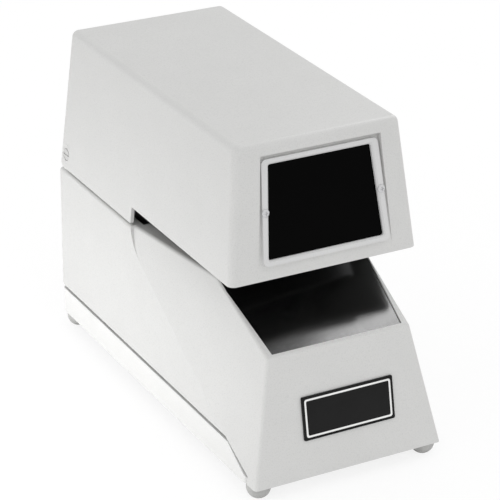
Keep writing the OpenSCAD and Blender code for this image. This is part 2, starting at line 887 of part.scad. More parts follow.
// Spur gear drawn in the plane, with a tooth on the first axis
module gear_2d(teeth, m) {
    polygon([
        for (k = [0:teeth - 1])
            for (p = tooth(teeth, m, k))
                p[0] * [cos(p[1]), sin(p[1])]
    ]);
}

gear_x = frame_out + 2.5;

// turn is the angle of the first tooth above +Y
module gear_at(y, teeth, turn) {
    translate([-gear_x - gear_t, y, type_z])
        rotate([90, 0, 90]) linear_extrude(gear_t) rotate(turn) gear_2d(teeth, gear_m);
}

module drive_gear() {
    color([0.80, 0.66, 0.34])
    difference() {
        union() {
            gear_at(type_y, 48, 0);
            on_type_shaft(0) rod_x(16, -gear_x - gear_t, -gear_x + 1);
        }
        on_type_shaft(0) rod_x(shaft_d, -gear_x - 20, 0);
        for (i = [0:4])
            on_type_shaft(0) rotate([i * 72 + 20, 0, 0]) translate([0, 0, 14.5]) rod_x(9, -gear_x - 9, 0);
    }
}

module idler_gear() {
    color([0.90, 0.89, 0.84])
    difference() {
        union() {
            gear_at(idler_y, 48, 180 / 48);
            translate([0, idler_y, type_z]) rod_x(12, -gear_x - gear_t - 0.6, -gear_x + 1.6);
        }
        translate([0, idler_y, type_z]) rod_x(5 + 2 * run, -gear_x - 20, 0);
        for (i = [0:4])
            translate([0, idler_y, type_z])
                rotate([i * 72, 0, 0]) translate([0, 0, 14]) rod_x(9, -gear_x - 9, 0);
    }
}

module idler_stud() {
    color([0.78, 0.78, 0.80])
    translate([0, idler_y, type_z]) {
        rod_x(5, -gear_x - gear_t - 1.2, -frame_in - eps);
        rod_x(8, -gear_x - gear_t - 2.2, -gear_x - gear_t - 1);
    }
}

module motor_pinion() {
    color([0.78, 0.78, 0.80])
    union() {
        gear_at(motor_y, 12, 0);
        translate([0, motor_y, type_z]) rod_x(motor_shaft_d, -gear_x - gear_t - 0.4, -frame_in + 10);
    }
}

motor_shaft_d = 3;
motor_d = 50;
motor_gap = 2.8;
motor_l = frame_in - spool_in - flange_t - motor_gap;

module drive_motor() {
    color([0.72, 0.73, 0.74])
    translate([0, motor_y, type_z])
        difference() {
            union() {
                rod_x(motor_d, -frame_in, -frame_in + motor_l - 4);
                rod_x(motor_d - 10, -frame_in, -frame_in + motor_l);
                rod_x(11.4, -frame_out - 1, -frame_in + 1);
                // Ears with slots, and the block where the leads come out
                for (a = [45, 225])
                    rotate([a, 0, 0]) box([-frame_in, -5, 0], [-frame_in + 1.4, 5, motor_d / 2 + 8]);
                rotate([200, 0, 0]) box(
                    [-frame_in + 4, -6, motor_d / 2 - 3],
                    [-frame_in + 14, 6, motor_d / 2 + 3]
                );
            }
            rod_x(motor_shaft_d + 2 * run, -frame_out - 2, -frame_in + 10.5);
            for (a = [45, 225])
                rotate([a, 0, 0]) translate([0, 0, motor_d / 2 + 4]) rod_x(3.4, -frame_in - 1, 0);
        }
}

// ---------- Ribbon ----------
guide_r = 3;
guide_z = ribbon_plate_z + ribbon_plate_t + 1.5 + ribbon_t + guide_r + play;
guide_in = 14;
guide_ys = [spool_ys[0] + guide_in, spool_ys[1] - guide_in];
spool_shaft_d = 5;
roll_r = guide_in - guide_r - play - ribbon_t - run;

module at_spool(i) {
    translate([0, spool_ys[i], spool_z]) children();
}

module spool(i) {
    at_spool(i)
        difference() {
            union() {
                rod_x(10, -spool_in - flange_t, spool_in + flange_t);
                both_sides()
                    difference() {
                        rod_x(2 * spool_r, spool_in, spool_in + flange_t);
                        for (k = [0:2])
                            rotate([k * 120, 0, 0]) translate([0, 0, 11]) rod_x(5, spool_in - 1, spool_in + 3);
                    }
            }
            rod_x(spool_shaft_d + 2 * run, -50, 50);
        }
}

module ribbon_roll(i) {
    at_spool(i)
        difference() {
            rod_x(2 * roll_r, -ribbon_w / 2, ribbon_w / 2);
            rod_x(10, -50, 50);
        }
}

module front_spool() {
    color([0.20, 0.20, 0.22]) spool(0);
}

module rear_spool() {
    color([0.20, 0.20, 0.22]) spool(1);
}

module front_ribbon_roll() {
    color([0.10, 0.08, 0.16]) ribbon_roll(0);
}

module rear_ribbon_roll() {
    color([0.10, 0.08, 0.16]) ribbon_roll(1);
}

module spool_shafts() {
    color([0.78, 0.78, 0.80])
    for (i = [0, 1])
        at_spool(i) {
            rod_x(spool_shaft_d, -frame_out - 1.8, frame_out + 1.8);
            both_sides() rod_x(8, frame_out, frame_out + 1.2);
            // Collars that keep the spool in the middle
            both_sides() rod_x(9, spool_in + 2, spool_in + 5);
        }
}

module ribbon_guides() {
    color([0.78, 0.78, 0.80])
    for (y = guide_ys)
        translate([0, y, guide_z]) rod_x(2 * guide_r, -frame_in, frame_in);
}

// Corner of the ribbon round a guide: points of an arc (Y, Z)
function arc_points(c, r, a0, a1) =
    [for (i = [0:8]) c + r * [cos(a0 + (a1 - a0) * i / 8), sin(a0 + (a1 - a0) * i / 8)]];

module ink_ribbon() {
    r0 = guide_r + play;
    r1 = r0 + ribbon_t;
    f = [guide_ys[0], guide_z];
    b = [guide_ys[1], guide_z];
    color([0.10, 0.08, 0.16])
    side_shape(-ribbon_w / 2, ribbon_w / 2)
        polygon(concat(
            [[f[0] - r1, spool_z]], arc_points(f, r1, 180, 270), arc_points(b, r1, 270, 360), [[b[0] + r1, spool_z]],
            [[b[0] + r0, spool_z]], arc_points(b, r0, 360, 270), arc_points(f, r0, 270, 180), [[f[0] - r0, spool_z]]
        ));
}

// ---------- Hammer and solenoid ----------
pad_t = 4;
pad_top = ribbon_plate_z + ribbon_plate_t + 1.5 - 0.4;
pin_d = 3;

// Draws its children in the struck position, and swings them down to rest
module at_rest_swing() {
    translate([0, hammer_y, hammer_z]) rotate([swing, 0, 0]) translate([0, -hammer_y, -hammer_z]) children();
}

module hammer_arm() {
    head_low = pad_top - pad_t - 5;
    color([0.60, 0.61, 0.63])
    at_rest_swing()
        difference() {
            union() {
                // Carrier under the pad
                box([-pad_w / 2, type_y - pad_l / 2, head_low], [pad_w / 2, type_y + pad_l / 2, head_low + 5]);
                side_shape(-arm_w / 2, arm_w / 2)
                    difference() {
                        polygon([
                            [type_y - pad_l / 2, head_low], [type_y + pad_l / 2, head_low], [hammer_y - 4, hammer_z + 4],
                            [hammer_y + plunger_arm * cos(swing) - 1, hammer_z - plunger_arm * sin(swing) + 4],
                            [hammer_y + plunger_arm * cos(swing) + 4, hammer_z - plunger_arm * sin(swing) - 2],
                            [hammer_y + plunger_arm * cos(swing) + 1, hammer_z - plunger_arm * sin(swing) - 5],
                            [hammer_y, hammer_z - 6], [type_y + pad_l / 2, head_low - 8], [type_y - pad_l / 2, head_low - 5]
                        ]);
                    }
                translate([0, hammer_y, hammer_z]) rod_x(12, -7, 7);
            }
            translate([0, hammer_y, hammer_z]) rod_x(6 + 2 * run, -10, 10);
            // Long hole for the plunger's pin, drawn along the arm
            translate([0, hammer_y, hammer_z]) rotate([-swing, 0, 0]) {
                for (d = [0, 1.9])
                    translate([0, plunger_arm + d - 0.2, 0]) rod_x(pin_d + 0.5, -5, 5);
                box([-5, plunger_arm - 0.2, -pin_d / 2 - 0.25], [5, plunger_arm + 1.7, pin_d / 2 + 0.25]);
            }
        }
}

module hammer_pad() {
    color([0.12, 0.12, 0.12])
    at_rest_swing()
        box([-pad_w / 2, type_y - pad_l / 2, pad_top - pad_t], [pad_w / 2, type_y + pad_l / 2, pad_top]);
}

module hammer_shaft() {
    color([0.78, 0.78, 0.80])
    translate([0, hammer_y, hammer_z]) {
        rod_x(6, -frame_out - 1.5, frame_out + 1.5);
        both_sides() rod_x(9.5, 7 + play, 9);
        both_sides() rod_x(9, frame_out, frame_out + 1);
    }
}

// Torsion spring wound round the hammer shaft, beside the arm's hub
spring_wire = 1.2;
spring_turns = 6;
spring_mean_r = 4.4;

module hammer_spring() {
    sides = 6;
    per_turn = 20;
    steps = spring_turns * per_turn;
    pitch = spring_wire + 0.5;
    points = [
        for (i = [0:steps])
            for (j = [0:sides - 1])
                let (
                    a = i * 360 / per_turn, b = j * 360 / sides,
                    r = spring_mean_r + spring_wire / 2 * cos(b)
                )
                [10.5 + pitch * i / per_turn + spring_wire / 2 * sin(b), r * cos(a), r * sin(a)]
    ];
    faces = concat(
        [for (i = [0:steps - 1], j = [0:sides - 1])
            each [
                [i * sides + j, i * sides + (j + 1) % sides, (i + 1) * sides + j],
                [i * sides + (j + 1) % sides, (i + 1) * sides + (j + 1) % sides, (i + 1) * sides + j]
            ]],
        [[for (j = [sides - 1:-1:0]) j]],
        [[for (j = [0:sides - 1]) steps * sides + j]]
    );
    color([0.65, 0.65, 0.67])
    translate([0, hammer_y, hammer_z]) polyhedron(points, faces);
}

coil_d = 30;
coil_low = deck_z - 68;
coil_h = 40;
coil_bore = 12;
plunger_d = 10;
yoke_t = 3;

module solenoid_frame() {
    color([0.62, 0.63, 0.65])
    translate([0, solenoid_y, 0])
        difference() {
            union() {
                // Shelf between the frame plates
                box([-frame_in, -18, coil_low - yoke_t], [frame_in, 18, coil_low]);
                both_sides()
                    box([frame_in - 2, -18, coil_low - yoke_t - 10], [frame_in, 18, coil_low]);
                // Bent yoke round the coil
                box(
                    [-17, coil_d / 2 + 1, coil_low - eps],
                    [17, coil_d / 2 + 1 + yoke_t, coil_low + coil_h + yoke_t]
                );
                box([-17, -coil_d / 2, coil_low + coil_h], [17, coil_d / 2 + 2, coil_low + coil_h + yoke_t]);
            }
            translate([0, 0, coil_low + coil_h - 1]) cylinder(d = plunger_d + 1, h = 6);
        }
}

module solenoid_coil() {
    color([0.55, 0.22, 0.10])
    translate([0, solenoid_y, coil_low])
        rotate_extrude()
            polygon([
                [coil_bore / 2 - 0.4, 0], [coil_d / 2, 0], [coil_d / 2, 2], [coil_d / 2 - 1.5, 2],
                [coil_d / 2 - 1.5, coil_h - 2], [coil_d / 2, coil_h - 2], [coil_d / 2, coil_h],
                [coil_bore / 2 - 0.4, coil_h]
            ]);
}

module solenoid_plunger() {
    color([0.78, 0.78, 0.80])
    translate([0, solenoid_y, 0])
        difference() {
            union() {
                translate([0, 0, coil_low + 12]) cylinder(d = plunger_d, h = hammer_z + 5 - coil_low - 12);
                translate([0, 0, hammer_z]) rod_x(pin_d, -plunger_d / 2, plunger_d / 2);
            }
            // Fork for the arm
            difference() {
                box([-arm_w / 2 - play, -10, hammer_z - 12], [arm_w / 2 + play, 10, hammer_z + 6]);
                translate([0, 0, hammer_z]) rod_x(pin_d, -10, 10);
            }
        }
}

// ---------- Paper stop, trigger and switch ----------
block_top = table_low - play / 3;
block_h = 4.2;
stop_top = head_z - 2.2;
trigger_z = block_top - 2.5;
trigger_y = stop_y + 4;

module paper_stop() {
    color([0.64, 0.65, 0.67])
    difference() {
        union() {
            // Plate that the form's edge meets
            box([-34, stop_y, table_top + play], [34, stop_y + stop_t, stop_top]);
            // Stems through the table, and the two sliding blocks under it
            for (x = [-stop_x, stop_x])
                box([x - 2.5, stop_y, block_top - 1], [x + 2.5, stop_y + stop_t, table_top + 1]);
            box([-36, stop_y - 5, block_top - block_h], [-20, stop_y + 12, block_top]);
            box([8, stop_y - 6, block_top - block_h], [36, stop_y + 30, block_top]);
        }
        // Room for the hammer's arm, and for the trigger
        box([-5, stop_y - 1, table_top - 1], [5, stop_y + 3, table_top + 6]);
        box(
            [trigger_x - slot_w / 2, stop_y - 8, block_top - 10],
            [trigger_x + slot_w / 2, stop_y + 12, stop_top - 1.5]
        );
        box(
            [trigger_x - slot_w / 2 - 3, stop_y + 12 - eps, block_top - 10],
            [trigger_x + slot_w / 2 + 9, stop_y + 31, block_top + 1]
        );
    }
    color([0.64, 0.65, 0.67])
    translate([0, trigger_y, trigger_z]) rod_x(2, trigger_x - 5, trigger_x + 5);
}

module trigger_lever() {
    tip = stop_top - 2.6;
    color([0.75, 0.75, 0.76])
    difference() {
        side_shape(trigger_x - trigger_w / 2, trigger_x + trigger_w / 2)
            polygon([
                [stop_y - 4.2, tip], [stop_y - 2.6, tip], [stop_y - 2.2, table_top + 2],
                [trigger_y + 2.2, trigger_z + 1], [trigger_y + 2.2, trigger_z - 2.2],
                [trigger_y - 2.2, trigger_z - 2.2], [stop_y - 5, table_top]
            ]);
        translate([0, trigger_y, trigger_z]) rod_x(2 + 2 * run, 0, 30);
    }
}

module trip_switch() {
    color([0.10, 0.10, 0.11])
    box(
        [trigger_x - slot_w / 2 - 2.4, trigger_y + 8.6, block_top - block_h],
        [trigger_x + slot_w / 2 + 8.4, trigger_y + 25, block_top - 0.2]
    );
    color([0.75, 0.75, 0.76])
    box([trigger_x - 1, trigger_y + 6, trigger_z - 1], [trigger_x + 1, trigger_y + 8.7, trigger_z + 1]);
}

// ---------- Electrics ----------
module circuit_board() {
    t = 1.6;
    top = board_z + t;
    color([0.10, 0.35, 0.18])
    translate([0, board_y, 0])
        union() {
            difference() {
                box([-board_w / 2, -board_l / 2, board_z], [board_w / 2, board_l / 2, top]);
                for (x = [-1, 1], y = [-1, 1])
                    translate([x * (board_w / 2 - 6), y * (board_l / 2 - 6), 0]) cylinder(d = 3.2, h = 60);
            }
            // Two capacitors, a relay, a row of terminals and two chips
            translate([0, board_l / 2 - 20, top - eps]) {
                for (x = [-24, -8])
                    translate([x, 0, 0]) cylinder(d = 13, h = 22);
                box([8, -8, 0], [28, 8, 15]);
            }
            translate([0, 6 - board_l / 2, top - eps]) {
                box([-30, 0, 0], [18, 8, 10]);
                for (x = [-26, -4])
                    box([x, 15, 0], [x + 16, 23, 3]);
            }
        }
}

module transformer() {
    color([0.45, 0.46, 0.48])
    translate([0, frame_rear - 19.5, frame_low])
        union() {
            difference() {
                box([-25, -14, 0], [25, 14, 37]);
                for (x = [-1, 1])
                    translate([x * 21, 20, 33]) rotate([90, 0, 0]) cylinder(d = 3.4, h = 60);
            }
            box([-15, -21, 7], [15, 21, 29.5]);
        }
}

// ---------- Head cover ----------
q_side = plane([cos(side_lean), 0, sin(side_lean)], [base_w / 2, 0, skirt_z]);
q_rear = plane([0, cos(rear_lean), sin(rear_lean)], [0, rear, pivot_z]);
q_front = plane([0, -cos(face_lean), sin(face_lean)], [0, face_y, head_z]);
q_top = plane([0, 0, 1], [0, 0, height]);
q_low = plane([0, 0, -1], [0, 0, deck_z - 30]);
head_corners = [
    [q_side, q_front, q_top], [q_side, q_rear, q_top], [q_side, q_front, q_low], [q_side, q_rear, q_low]
];

// The head seen from the side, down to its lower edges; inset moves only the rear corner
module head_side(inset, low_front, low_rear) {
    polygon([
        [face_y - 20, low_front], [notch_y + inset, low_front], [notch_y + inset, low_rear],
        [pivot_y, low_rear], [pivot_y, pivot_z], [rear + 5, pivot_z], [rear + 5, height + 5], [face_y - 20, height + 5]
    ]);
    translate([pivot_y, pivot_z]) circle(corner_r - inset);
}

// Local frame of the front face: u to the right, v up the face, w outwards
module on_face() {
    translate([window_x, face_y, head_z]) rotate([90 - face_lean, 0, 0]) children();
}

// Local frame of the recess's floor, tilted back from the face about the recess's lower end
floor_tilt = atan(recess_d / (recess_v1 - recess_v0));
module on_floor() {
    on_face() translate([0, recess_v0, 0]) rotate([-floor_tilt, 0, 0]) translate([0, -recess_v0, 0]) children();
}

// A shape with upright sides that lean in: half widths at two heights v
module trapezoid(v0, v1, half0, half1) {
    polygon([[-half0, v0], [half0, v0], [half1, v1], [-half1, v1]]);
}

module round_trapezoid(v0, v1, half0, half1, r) {
    hull() {
        for (s = [-1, 1]) {
            translate([s * (half0 - r), v0 + r]) circle(r, $fn = 32);
            translate([s * (half1 - r), v1 - r]) circle(r, $fn = 32);
        }
    }
}

bezel_v0 = recess_v0 + 3.1;
bezel_v1 = recess_v1 - 3;
window_v0 = bezel_v0 + bezel_end;
window_v1 = bezel_v1 - bezel_end;
window_half_low = bezel_half_low - bezel_side + 0.6;
window_half_top = bezel_half_top - bezel_side - 0.4;
panel_lap = 1.8;
window_screw_v = (recess_v0 + recess_v1) / 2 + 0.4;
window_screw_u = (bezel_half_low + bezel_half_top - bezel_side) / 2 + 0.3;

module head_cover() {
    color([0.86, 0.86, 0.85])
    difference() {
        union() {
            difference() {
                intersection() {
                    rounded_body(head_corners, 0, head_edge_r);
                    side_shape(-base_w, base_w) head_side(0, head_z, skirt_z);
                }
                intersection() {
                    rounded_body(head_corners, head_t, head_edge_r - head_t);
                    side_shape(-base_w, base_w) head_side(head_t, deck_z - 20, deck_z - 20);
                }
            }
            // Wall behind the recess
            intersection() {
                on_face()
                    translate([0, 0, -recess_d - head_t])
                        linear_extrude(recess_d + head_t - 1)
                            trapezoid(recess_v0 - 1, recess_v1 + head_t, recess_half_low + head_t, recess_half_top + head_t);
                on_floor()
                    translate([-60, -10, -head_t]) cube([120, 120, 12]);
            }
            // Pads inside the side walls round the pivots
            both_sides()
                translate([0, pivot_y, pivot_z]) rod_x(15, pivot_boss_x + play, base_w / 2 - 1.6);
        }
        // Recess: a wedge, deep at its lip and running out at its lower end
        intersection() {
            on_face()
                translate([0, 0, -recess_d - 4])
                    linear_extrude(30) trapezoid(recess_v0 - 2, recess_v1, recess_half_low, recess_half_top);
            on_floor()
                translate([-60, -10, 0]) cube([120, 120, 30]);
        }
        // Pocket for the panel, and the opening behind it
        on_floor() {
            translate([0, 0, -window_t])
                linear_extrude(5)
                    trapezoid(
                        window_v0 - panel_lap, window_v1 + panel_lap,
                        window_half_low + panel_lap, window_half_top + panel_lap
                    );
            translate([0, 0, -20])
                linear_extrude(25) trapezoid(window_v0, window_v1, window_half_low, window_half_top);
            for (s = [-1, 1])
                translate([s * window_screw_u, window_screw_v, -head_t - 5]) cylinder(d = 2.5, h = 20);
        }
        // Pivot bores with counterbores for the screw heads
        both_sides()
            translate([0, pivot_y, pivot_z]) {
                rod_x(6 + 2 * run, base_w / 2 - 9, base_w / 2 + 5);
                rod_x(9, base_w / 2 - 2.2, base_w / 2 + 5);
            }
        on_lock() translate([0, 0, -20]) cylinder(d = lock_d, h = 40);
    }
}

module window_frame() {
    color([0.84, 0.85, 0.86])
    on_floor()
        difference() {
            linear_extrude(bezel_t)
                round_trapezoid(bezel_v0, bezel_v1, bezel_half_low, bezel_half_top, 3.5);
            translate([0, 0, -1])
                linear_extrude(bezel_t + 2)
                    round_trapezoid(window_v0, window_v1, window_half_low, window_half_top, 1.5);
            // Chamfer round the inner edge
            hull() {
                translate([0, 0, bezel_t - 1])
                    linear_extrude(eps)
                        round_trapezoid(window_v0, window_v1, window_half_low, window_half_top, 1.5);
                translate([0, 0, bezel_t + 0.2])
                    linear_extrude(eps)
                        round_trapezoid(window_v0 - 1.2, window_v1 + 1.2, window_half_low + 1.2, window_half_top + 1.2, 2);
            }
            for (s = [-1, 1])
                translate([s * window_screw_u, window_screw_v, -1]) cylinder(d = 3, h = 10);
        }
}

module window_panel() {
    color([0.03, 0.03, 0.03])
    on_floor()
        difference() {
            translate([0, 0, -window_t])
                linear_extrude(window_t)
                    trapezoid(
                        window_v0 - panel_lap + play, window_v1 + panel_lap - play,
                        window_half_low + panel_lap - play, window_half_top + panel_lap - play
                    );
            for (s = [-1, 1])
                translate([s * window_screw_u, window_screw_v, -5]) cylinder(d = 3.4, h = 10);
        }
}

module window_screws() {
    color([0.80, 0.81, 0.82])
    on_floor()
        for (s = [-1, 1])
            translate([s * window_screw_u, window_screw_v, 0])
                difference() {
                    union() {
                        translate([0, 0, -head_t - 1]) cylinder(d = 2.5 - 2 * run, h = head_t + bezel_t + 1.5);
                        translate([0, 0, bezel_t])
                            rotate_extrude()
                                intersection() {
                                    translate([0, -3]) circle(4.3);
                                    square([2.6, 3]);
                                }
                    }
                    for (a = [0, 90])
                        rotate(a) translate([-1.3, -0.3, bezel_t + 0.5]) cube([2.6, 0.6, 3]);
                }
}

module pivot_screws() {
    color([0.30, 0.30, 0.31])
    both_sides()
        translate([0, pivot_y, pivot_z])
            difference() {
                union() {
                    rod_x(5 - 2 * run, frame_in + 1, base_w / 2 - 3);
                    rod_x(6, pivot_boss_x + run, base_w / 2 - 2.1);
                    rod_x(8.4, base_w / 2 - 2.15, base_w / 2 - 1);
                }
                box([base_w / 2 - 1.6, -5, -0.5], [base_w / 2, 5, 0.5]);
            }
}

// ---------- Lock ----------
lock_d = 16;
lock_y = notch_y + 31.5;
lock_z = head_z + 15.6;
lock_wall_x = base_w / 2 - (lock_z - skirt_z) * tan(side_lean);

// Local frame of the lock: z points out of the right side wall
module on_lock() {
    translate([lock_wall_x, lock_y, lock_z]) rotate([0, 90 - side_lean, 0]) children();
}

module lock_body() {
    color([0.80, 0.81, 0.82])
    on_lock()
        difference() {
            union() {
                cylinder(d = 19, h = 1.2);
                translate([0, 0, -head_t - 3]) cylinder(d = lock_d - 2 * play, h = head_t + 3.5);
                translate([0, 0, -head_t - 2.2]) cylinder(d = 20, h = 2, $fn = 6);
            }
            translate([0, 0, -20]) cylinder(d = 10, h = 40);
        }
}

module lock_barrel() {
    color([0.75, 0.75, 0.76])
    on_lock()
        difference() {
            union() {
                translate([0, 0, -head_t - 4.5]) cylinder(d = 10 - 4 * run, h = head_t + 5.5);
                // Cam, pointing down when the cover is free
                hull() {
                    translate([0, 0, -head_t - 6]) cylinder(d = 9, h = 1.6, $fn = 32);
                    translate([14, 0, -head_t - 6]) cylinder(d = 7, h = 1.6, $fn = 32);
                }
            }
            translate([-0.8, -3, 0]) cube([1.6, 6, 3]);
        }
}

module cover_bumpers() {
    y0 = head_frame_front + 14;
    color([0.10, 0.10, 0.10])
    both_sides()
        difference() {
            box([frame_in - 2, y0, frame_top - 4], [frame_out + 2, y0 + 12, height - head_t - play]);
            box([frame_in - eps, y0 - 1, frame_top - 6], [frame_out + eps, y0 + 13, frame_top]);
        }
}

base_pan();
rubber_feet();
foot_screws();
cord_bushing();
base_cover();
cover_screws();
paper_table();
nameplate();
frame_left();
frame_right();
tie_rods();
frame_screws();
ribbon_plate();
type_shaft();
shaft_bushes();
minute_wheel();
hour_wheel();
day_wheel();
month_wheel();
year_wheel();
wheel_detents();
drive_gear();
idler_gear();
idler_stud();
motor_pinion();
drive_motor();
front_spool();
rear_spool();
front_ribbon_roll();
rear_ribbon_roll();
spool_shafts();
ribbon_guides();
ink_ribbon();
hammer_arm();
hammer_pad();
hammer_shaft();
hammer_spring();
solenoid_frame();
solenoid_coil();
solenoid_plunger();
paper_stop();
trigger_lever();
trip_switch();
circuit_board();
transformer();
head_cover();
window_frame();
window_panel();
window_screws();
pivot_screws();
lock_body();
lock_barrel();
cover_bumpers();
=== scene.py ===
"""Dresses the date and time stamp machine: paint, rubber, steel, brass type wheels, ribbon and electrics.

Everything is in metres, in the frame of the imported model: X to the right, -Y to the front, Z up from the floor.
"""

import math

import bmesh
import bpy
from bpy.props import FloatProperty, FloatVectorProperty, IntProperty, PointerProperty
from mathutils import Matrix, Vector


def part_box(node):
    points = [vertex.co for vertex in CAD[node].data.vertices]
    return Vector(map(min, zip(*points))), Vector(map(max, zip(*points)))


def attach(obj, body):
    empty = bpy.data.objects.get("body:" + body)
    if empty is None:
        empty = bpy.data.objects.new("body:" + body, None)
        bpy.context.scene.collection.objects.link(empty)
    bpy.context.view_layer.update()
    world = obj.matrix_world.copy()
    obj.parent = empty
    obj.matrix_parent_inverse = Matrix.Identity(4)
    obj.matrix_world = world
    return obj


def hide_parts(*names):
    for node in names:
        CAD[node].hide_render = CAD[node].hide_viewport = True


bl_info = {
    "name": "Date and time stamp machine",
    "version": (1, 0, 0),
    "blender": (4, 5, 0),
    "location": "View3D > Sidebar > Stamp",
    "description": "Materials and fine pieces of a desk date and time stamp machine",
    "category": "Object",
}

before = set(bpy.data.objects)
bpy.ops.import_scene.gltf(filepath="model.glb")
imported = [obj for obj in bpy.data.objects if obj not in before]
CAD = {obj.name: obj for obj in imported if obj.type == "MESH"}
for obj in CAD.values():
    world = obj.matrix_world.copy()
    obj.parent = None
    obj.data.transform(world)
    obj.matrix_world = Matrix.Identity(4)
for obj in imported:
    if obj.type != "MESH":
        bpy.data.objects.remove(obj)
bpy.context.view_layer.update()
MM = 0.001

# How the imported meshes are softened: points this near are joined, faces this near to flat become one,
# edges steeper than SHARP are rounded, and those shallower than SMOOTH are shaded smooth
JOIN = 0.004 * MM
FLAT = math.radians(0.4)
SHARP = math.radians(40)
SMOOTH = math.radians(32)


# ---------- Node helpers ----------


class Tree:
    """A material's node tree with short calls for the nodes that the finishes use."""

    def __init__(self, name, color, rough=0.5, metal=0.0):
        self.material = bpy.data.materials.new(name)
        self.material.use_nodes = True
        self.material.diffuse_color = (*color, 1.0)
        self.nodes = self.material.node_tree.nodes
        self.links = self.material.node_tree.links
        self.shader = self.nodes["Principled BSDF"]
        self.shader.inputs["Base Color"].default_value = (*color, 1.0)
        self.shader.inputs["Roughness"].default_value = rough
        self.shader.inputs["Metallic"].default_value = metal
        self.place = self.nodes.new("ShaderNodeTexCoord").outputs["Object"]
        self.bumps = None

    def socket(self, name, value):
        self.shader.inputs[name].default_value = value

    def link(self, source, target):
        self.links.new(source, target)

    def stretched(self, scale):
        node = self.nodes.new("ShaderNodeMapping")
        node.inputs["Scale"].default_value = scale
        self.link(self.place, node.inputs["Vector"])
        return node.outputs["Vector"]

    def noise(self, scale, detail=3.0, rough=0.55, at=None):
        node = self.nodes.new("ShaderNodeTexNoise")
        node.inputs["Scale"].default_value = scale
        node.inputs["Detail"].default_value = detail
        node.inputs["Roughness"].default_value = rough
        self.link(at or self.place, node.inputs["Vector"])
        return node.outputs["Fac"]

    def cell_edges(self, scale):
        node = self.nodes.new("ShaderNodeTexVoronoi")
        node.feature = "DISTANCE_TO_EDGE"
        node.inputs["Scale"].default_value = scale
        self.link(self.place, node.inputs["Vector"])
        return node.outputs["Distance"]

    def wave(self, scale, axis):
        node = self.nodes.new("ShaderNodeTexWave")
        node.bands_direction = axis
        node.inputs["Scale"].default_value = scale
        self.link(self.place, node.inputs["Vector"])
        return node.outputs["Fac"]

    def ramp(self, source, low, high, out_low=0.0, out_high=1.0):
        node = self.nodes.new("ShaderNodeMapRange")
        node.inputs["From Min"].default_value = low
        node.inputs["From Max"].default_value = high
        node.inputs["To Min"].default_value = out_low
        node.inputs["To Max"].default_value = out_high
        self.link(source, node.inputs["Value"])
        return node.outputs["Result"]

    def mixed(self, factor, a, b):
        """Colour between a and b; each is a colour or a socket."""
        node = self.nodes.new("ShaderNodeMix")
        node.data_type = "RGBA"
        for key, value in (("A", a), ("B", b)):
            socket = next(s for s in node.inputs if s.name == key and s.type == "RGBA")
            if isinstance(value, bpy.types.NodeSocket):
                self.link(value, socket)
            else:
                socket.default_value = (*value, 1.0)
        self.link(factor, node.inputs["Factor"])
        return next(s for s in node.outputs if s.type == "RGBA")

    def within(self, low, high):
        """One inside the box between two corners, in metres, and nought outside."""
        parts = self.nodes.new("ShaderNodeSeparateXYZ")
        self.link(self.place, parts.inputs[0])
        inside = None
        for axis in range(3):
            near = self.nodes.new("ShaderNodeMath")
            near.operation = "COMPARE"
            near.inputs[1].default_value = (low[axis] + high[axis]) / 2
            near.inputs[2].default_value = (high[axis] - low[axis]) / 2
            self.link(parts.outputs[axis], near.inputs[0])
            if inside:
                both = self.nodes.new("ShaderNodeMath")
                both.operation = "MULTIPLY"
                self.link(inside, both.inputs[0])
                self.link(near.outputs[0], both.inputs[1])
                near = both
            inside = near.outputs[0]
        return inside

    def color(self, source):
        self.link(source, self.shader.inputs["Base Color"])

    def rough(self, source):
        self.link(source, self.shader.inputs["Roughness"])

    def bump(self, source, depth, strength=1.0):
        """Adds relief of that depth in metres; calls stack."""
        node = self.nodes.new("ShaderNodeBump")
        node.inputs["Distance"].default_value = depth
        node.inputs["Strength"].default_value = strength
        self.link(source, node.inputs["Height"])
        if self.bumps:
            self.link(self.bumps, node.inputs["Normal"])
        self.bumps = node.outputs["Normal"]
        self.link(self.bumps, self.shader.inputs["Normal"])


def scaled(color, by):
    return tuple(min(1.0, c * by) for c in color)


# ---------- Finishes ----------


def enamel(name, color, grain, depth):
    """Baked enamel: fine orange peel, small darker specks, faint unevenness of tone."""
    t = Tree(name, color, 0.5)
    tone = t.mixed(t.noise(38, 4), scaled(color, 0.975), scaled(color, 1.04))
    specks = t.ramp(t.noise(grain * 1.4, 2.0), 0.5, 0.72)
    t.color(t.mixed(specks, tone, scaled(color, 0.9)))
    t.rough(t.ramp(t.noise(grain * 0.4), 0.3, 0.7, 0.40, 0.54))
    t.bump(t.noise(grain, 2.0), depth)
    t.bump(t.noise(9, 1.0), 0.2 * MM, 0.25)
    t.socket("Specular IOR Level", 0.4)
    return t.material


def satin_black(name, color):
    """Satin black paint that sliding paper has polished in streaks."""
    t = Tree(name, color, 0.22)
    streaks = t.noise(60, 4, at=t.stretched((6, 0.5, 1)))
    t.color(t.mixed(t.ramp(streaks, 0.42, 0.75), color, scaled(color, 1.6)))
    t.rough(t.ramp(streaks, 0.3, 0.75, 0.17, 0.12))
    t.bump(t.noise(1300, 2.0), 0.02 * MM)
    t.socket("Specular IOR Level", 0.9)
    return t.material


def rubber(name, color, see=0.0):
    """Moulded rubber; see lets a little light into pale rubber."""
    t = Tree(name, color, 0.7)
    t.color(t.mixed(t.noise(140, 3), scaled(color, 0.88), scaled(color, 1.1)))
    t.rough(t.ramp(t.noise(300), 0.3, 0.7, 0.62, 0.8))
    t.bump(t.noise(900, 3), 0.04 * MM)
    if see:
        t.socket("Subsurface Weight", see)
        t.socket("Subsurface Radius", (3 * MM, 3 * MM, 3 * MM))
        t.socket("Subsurface Scale", 1.0)
    return t.material


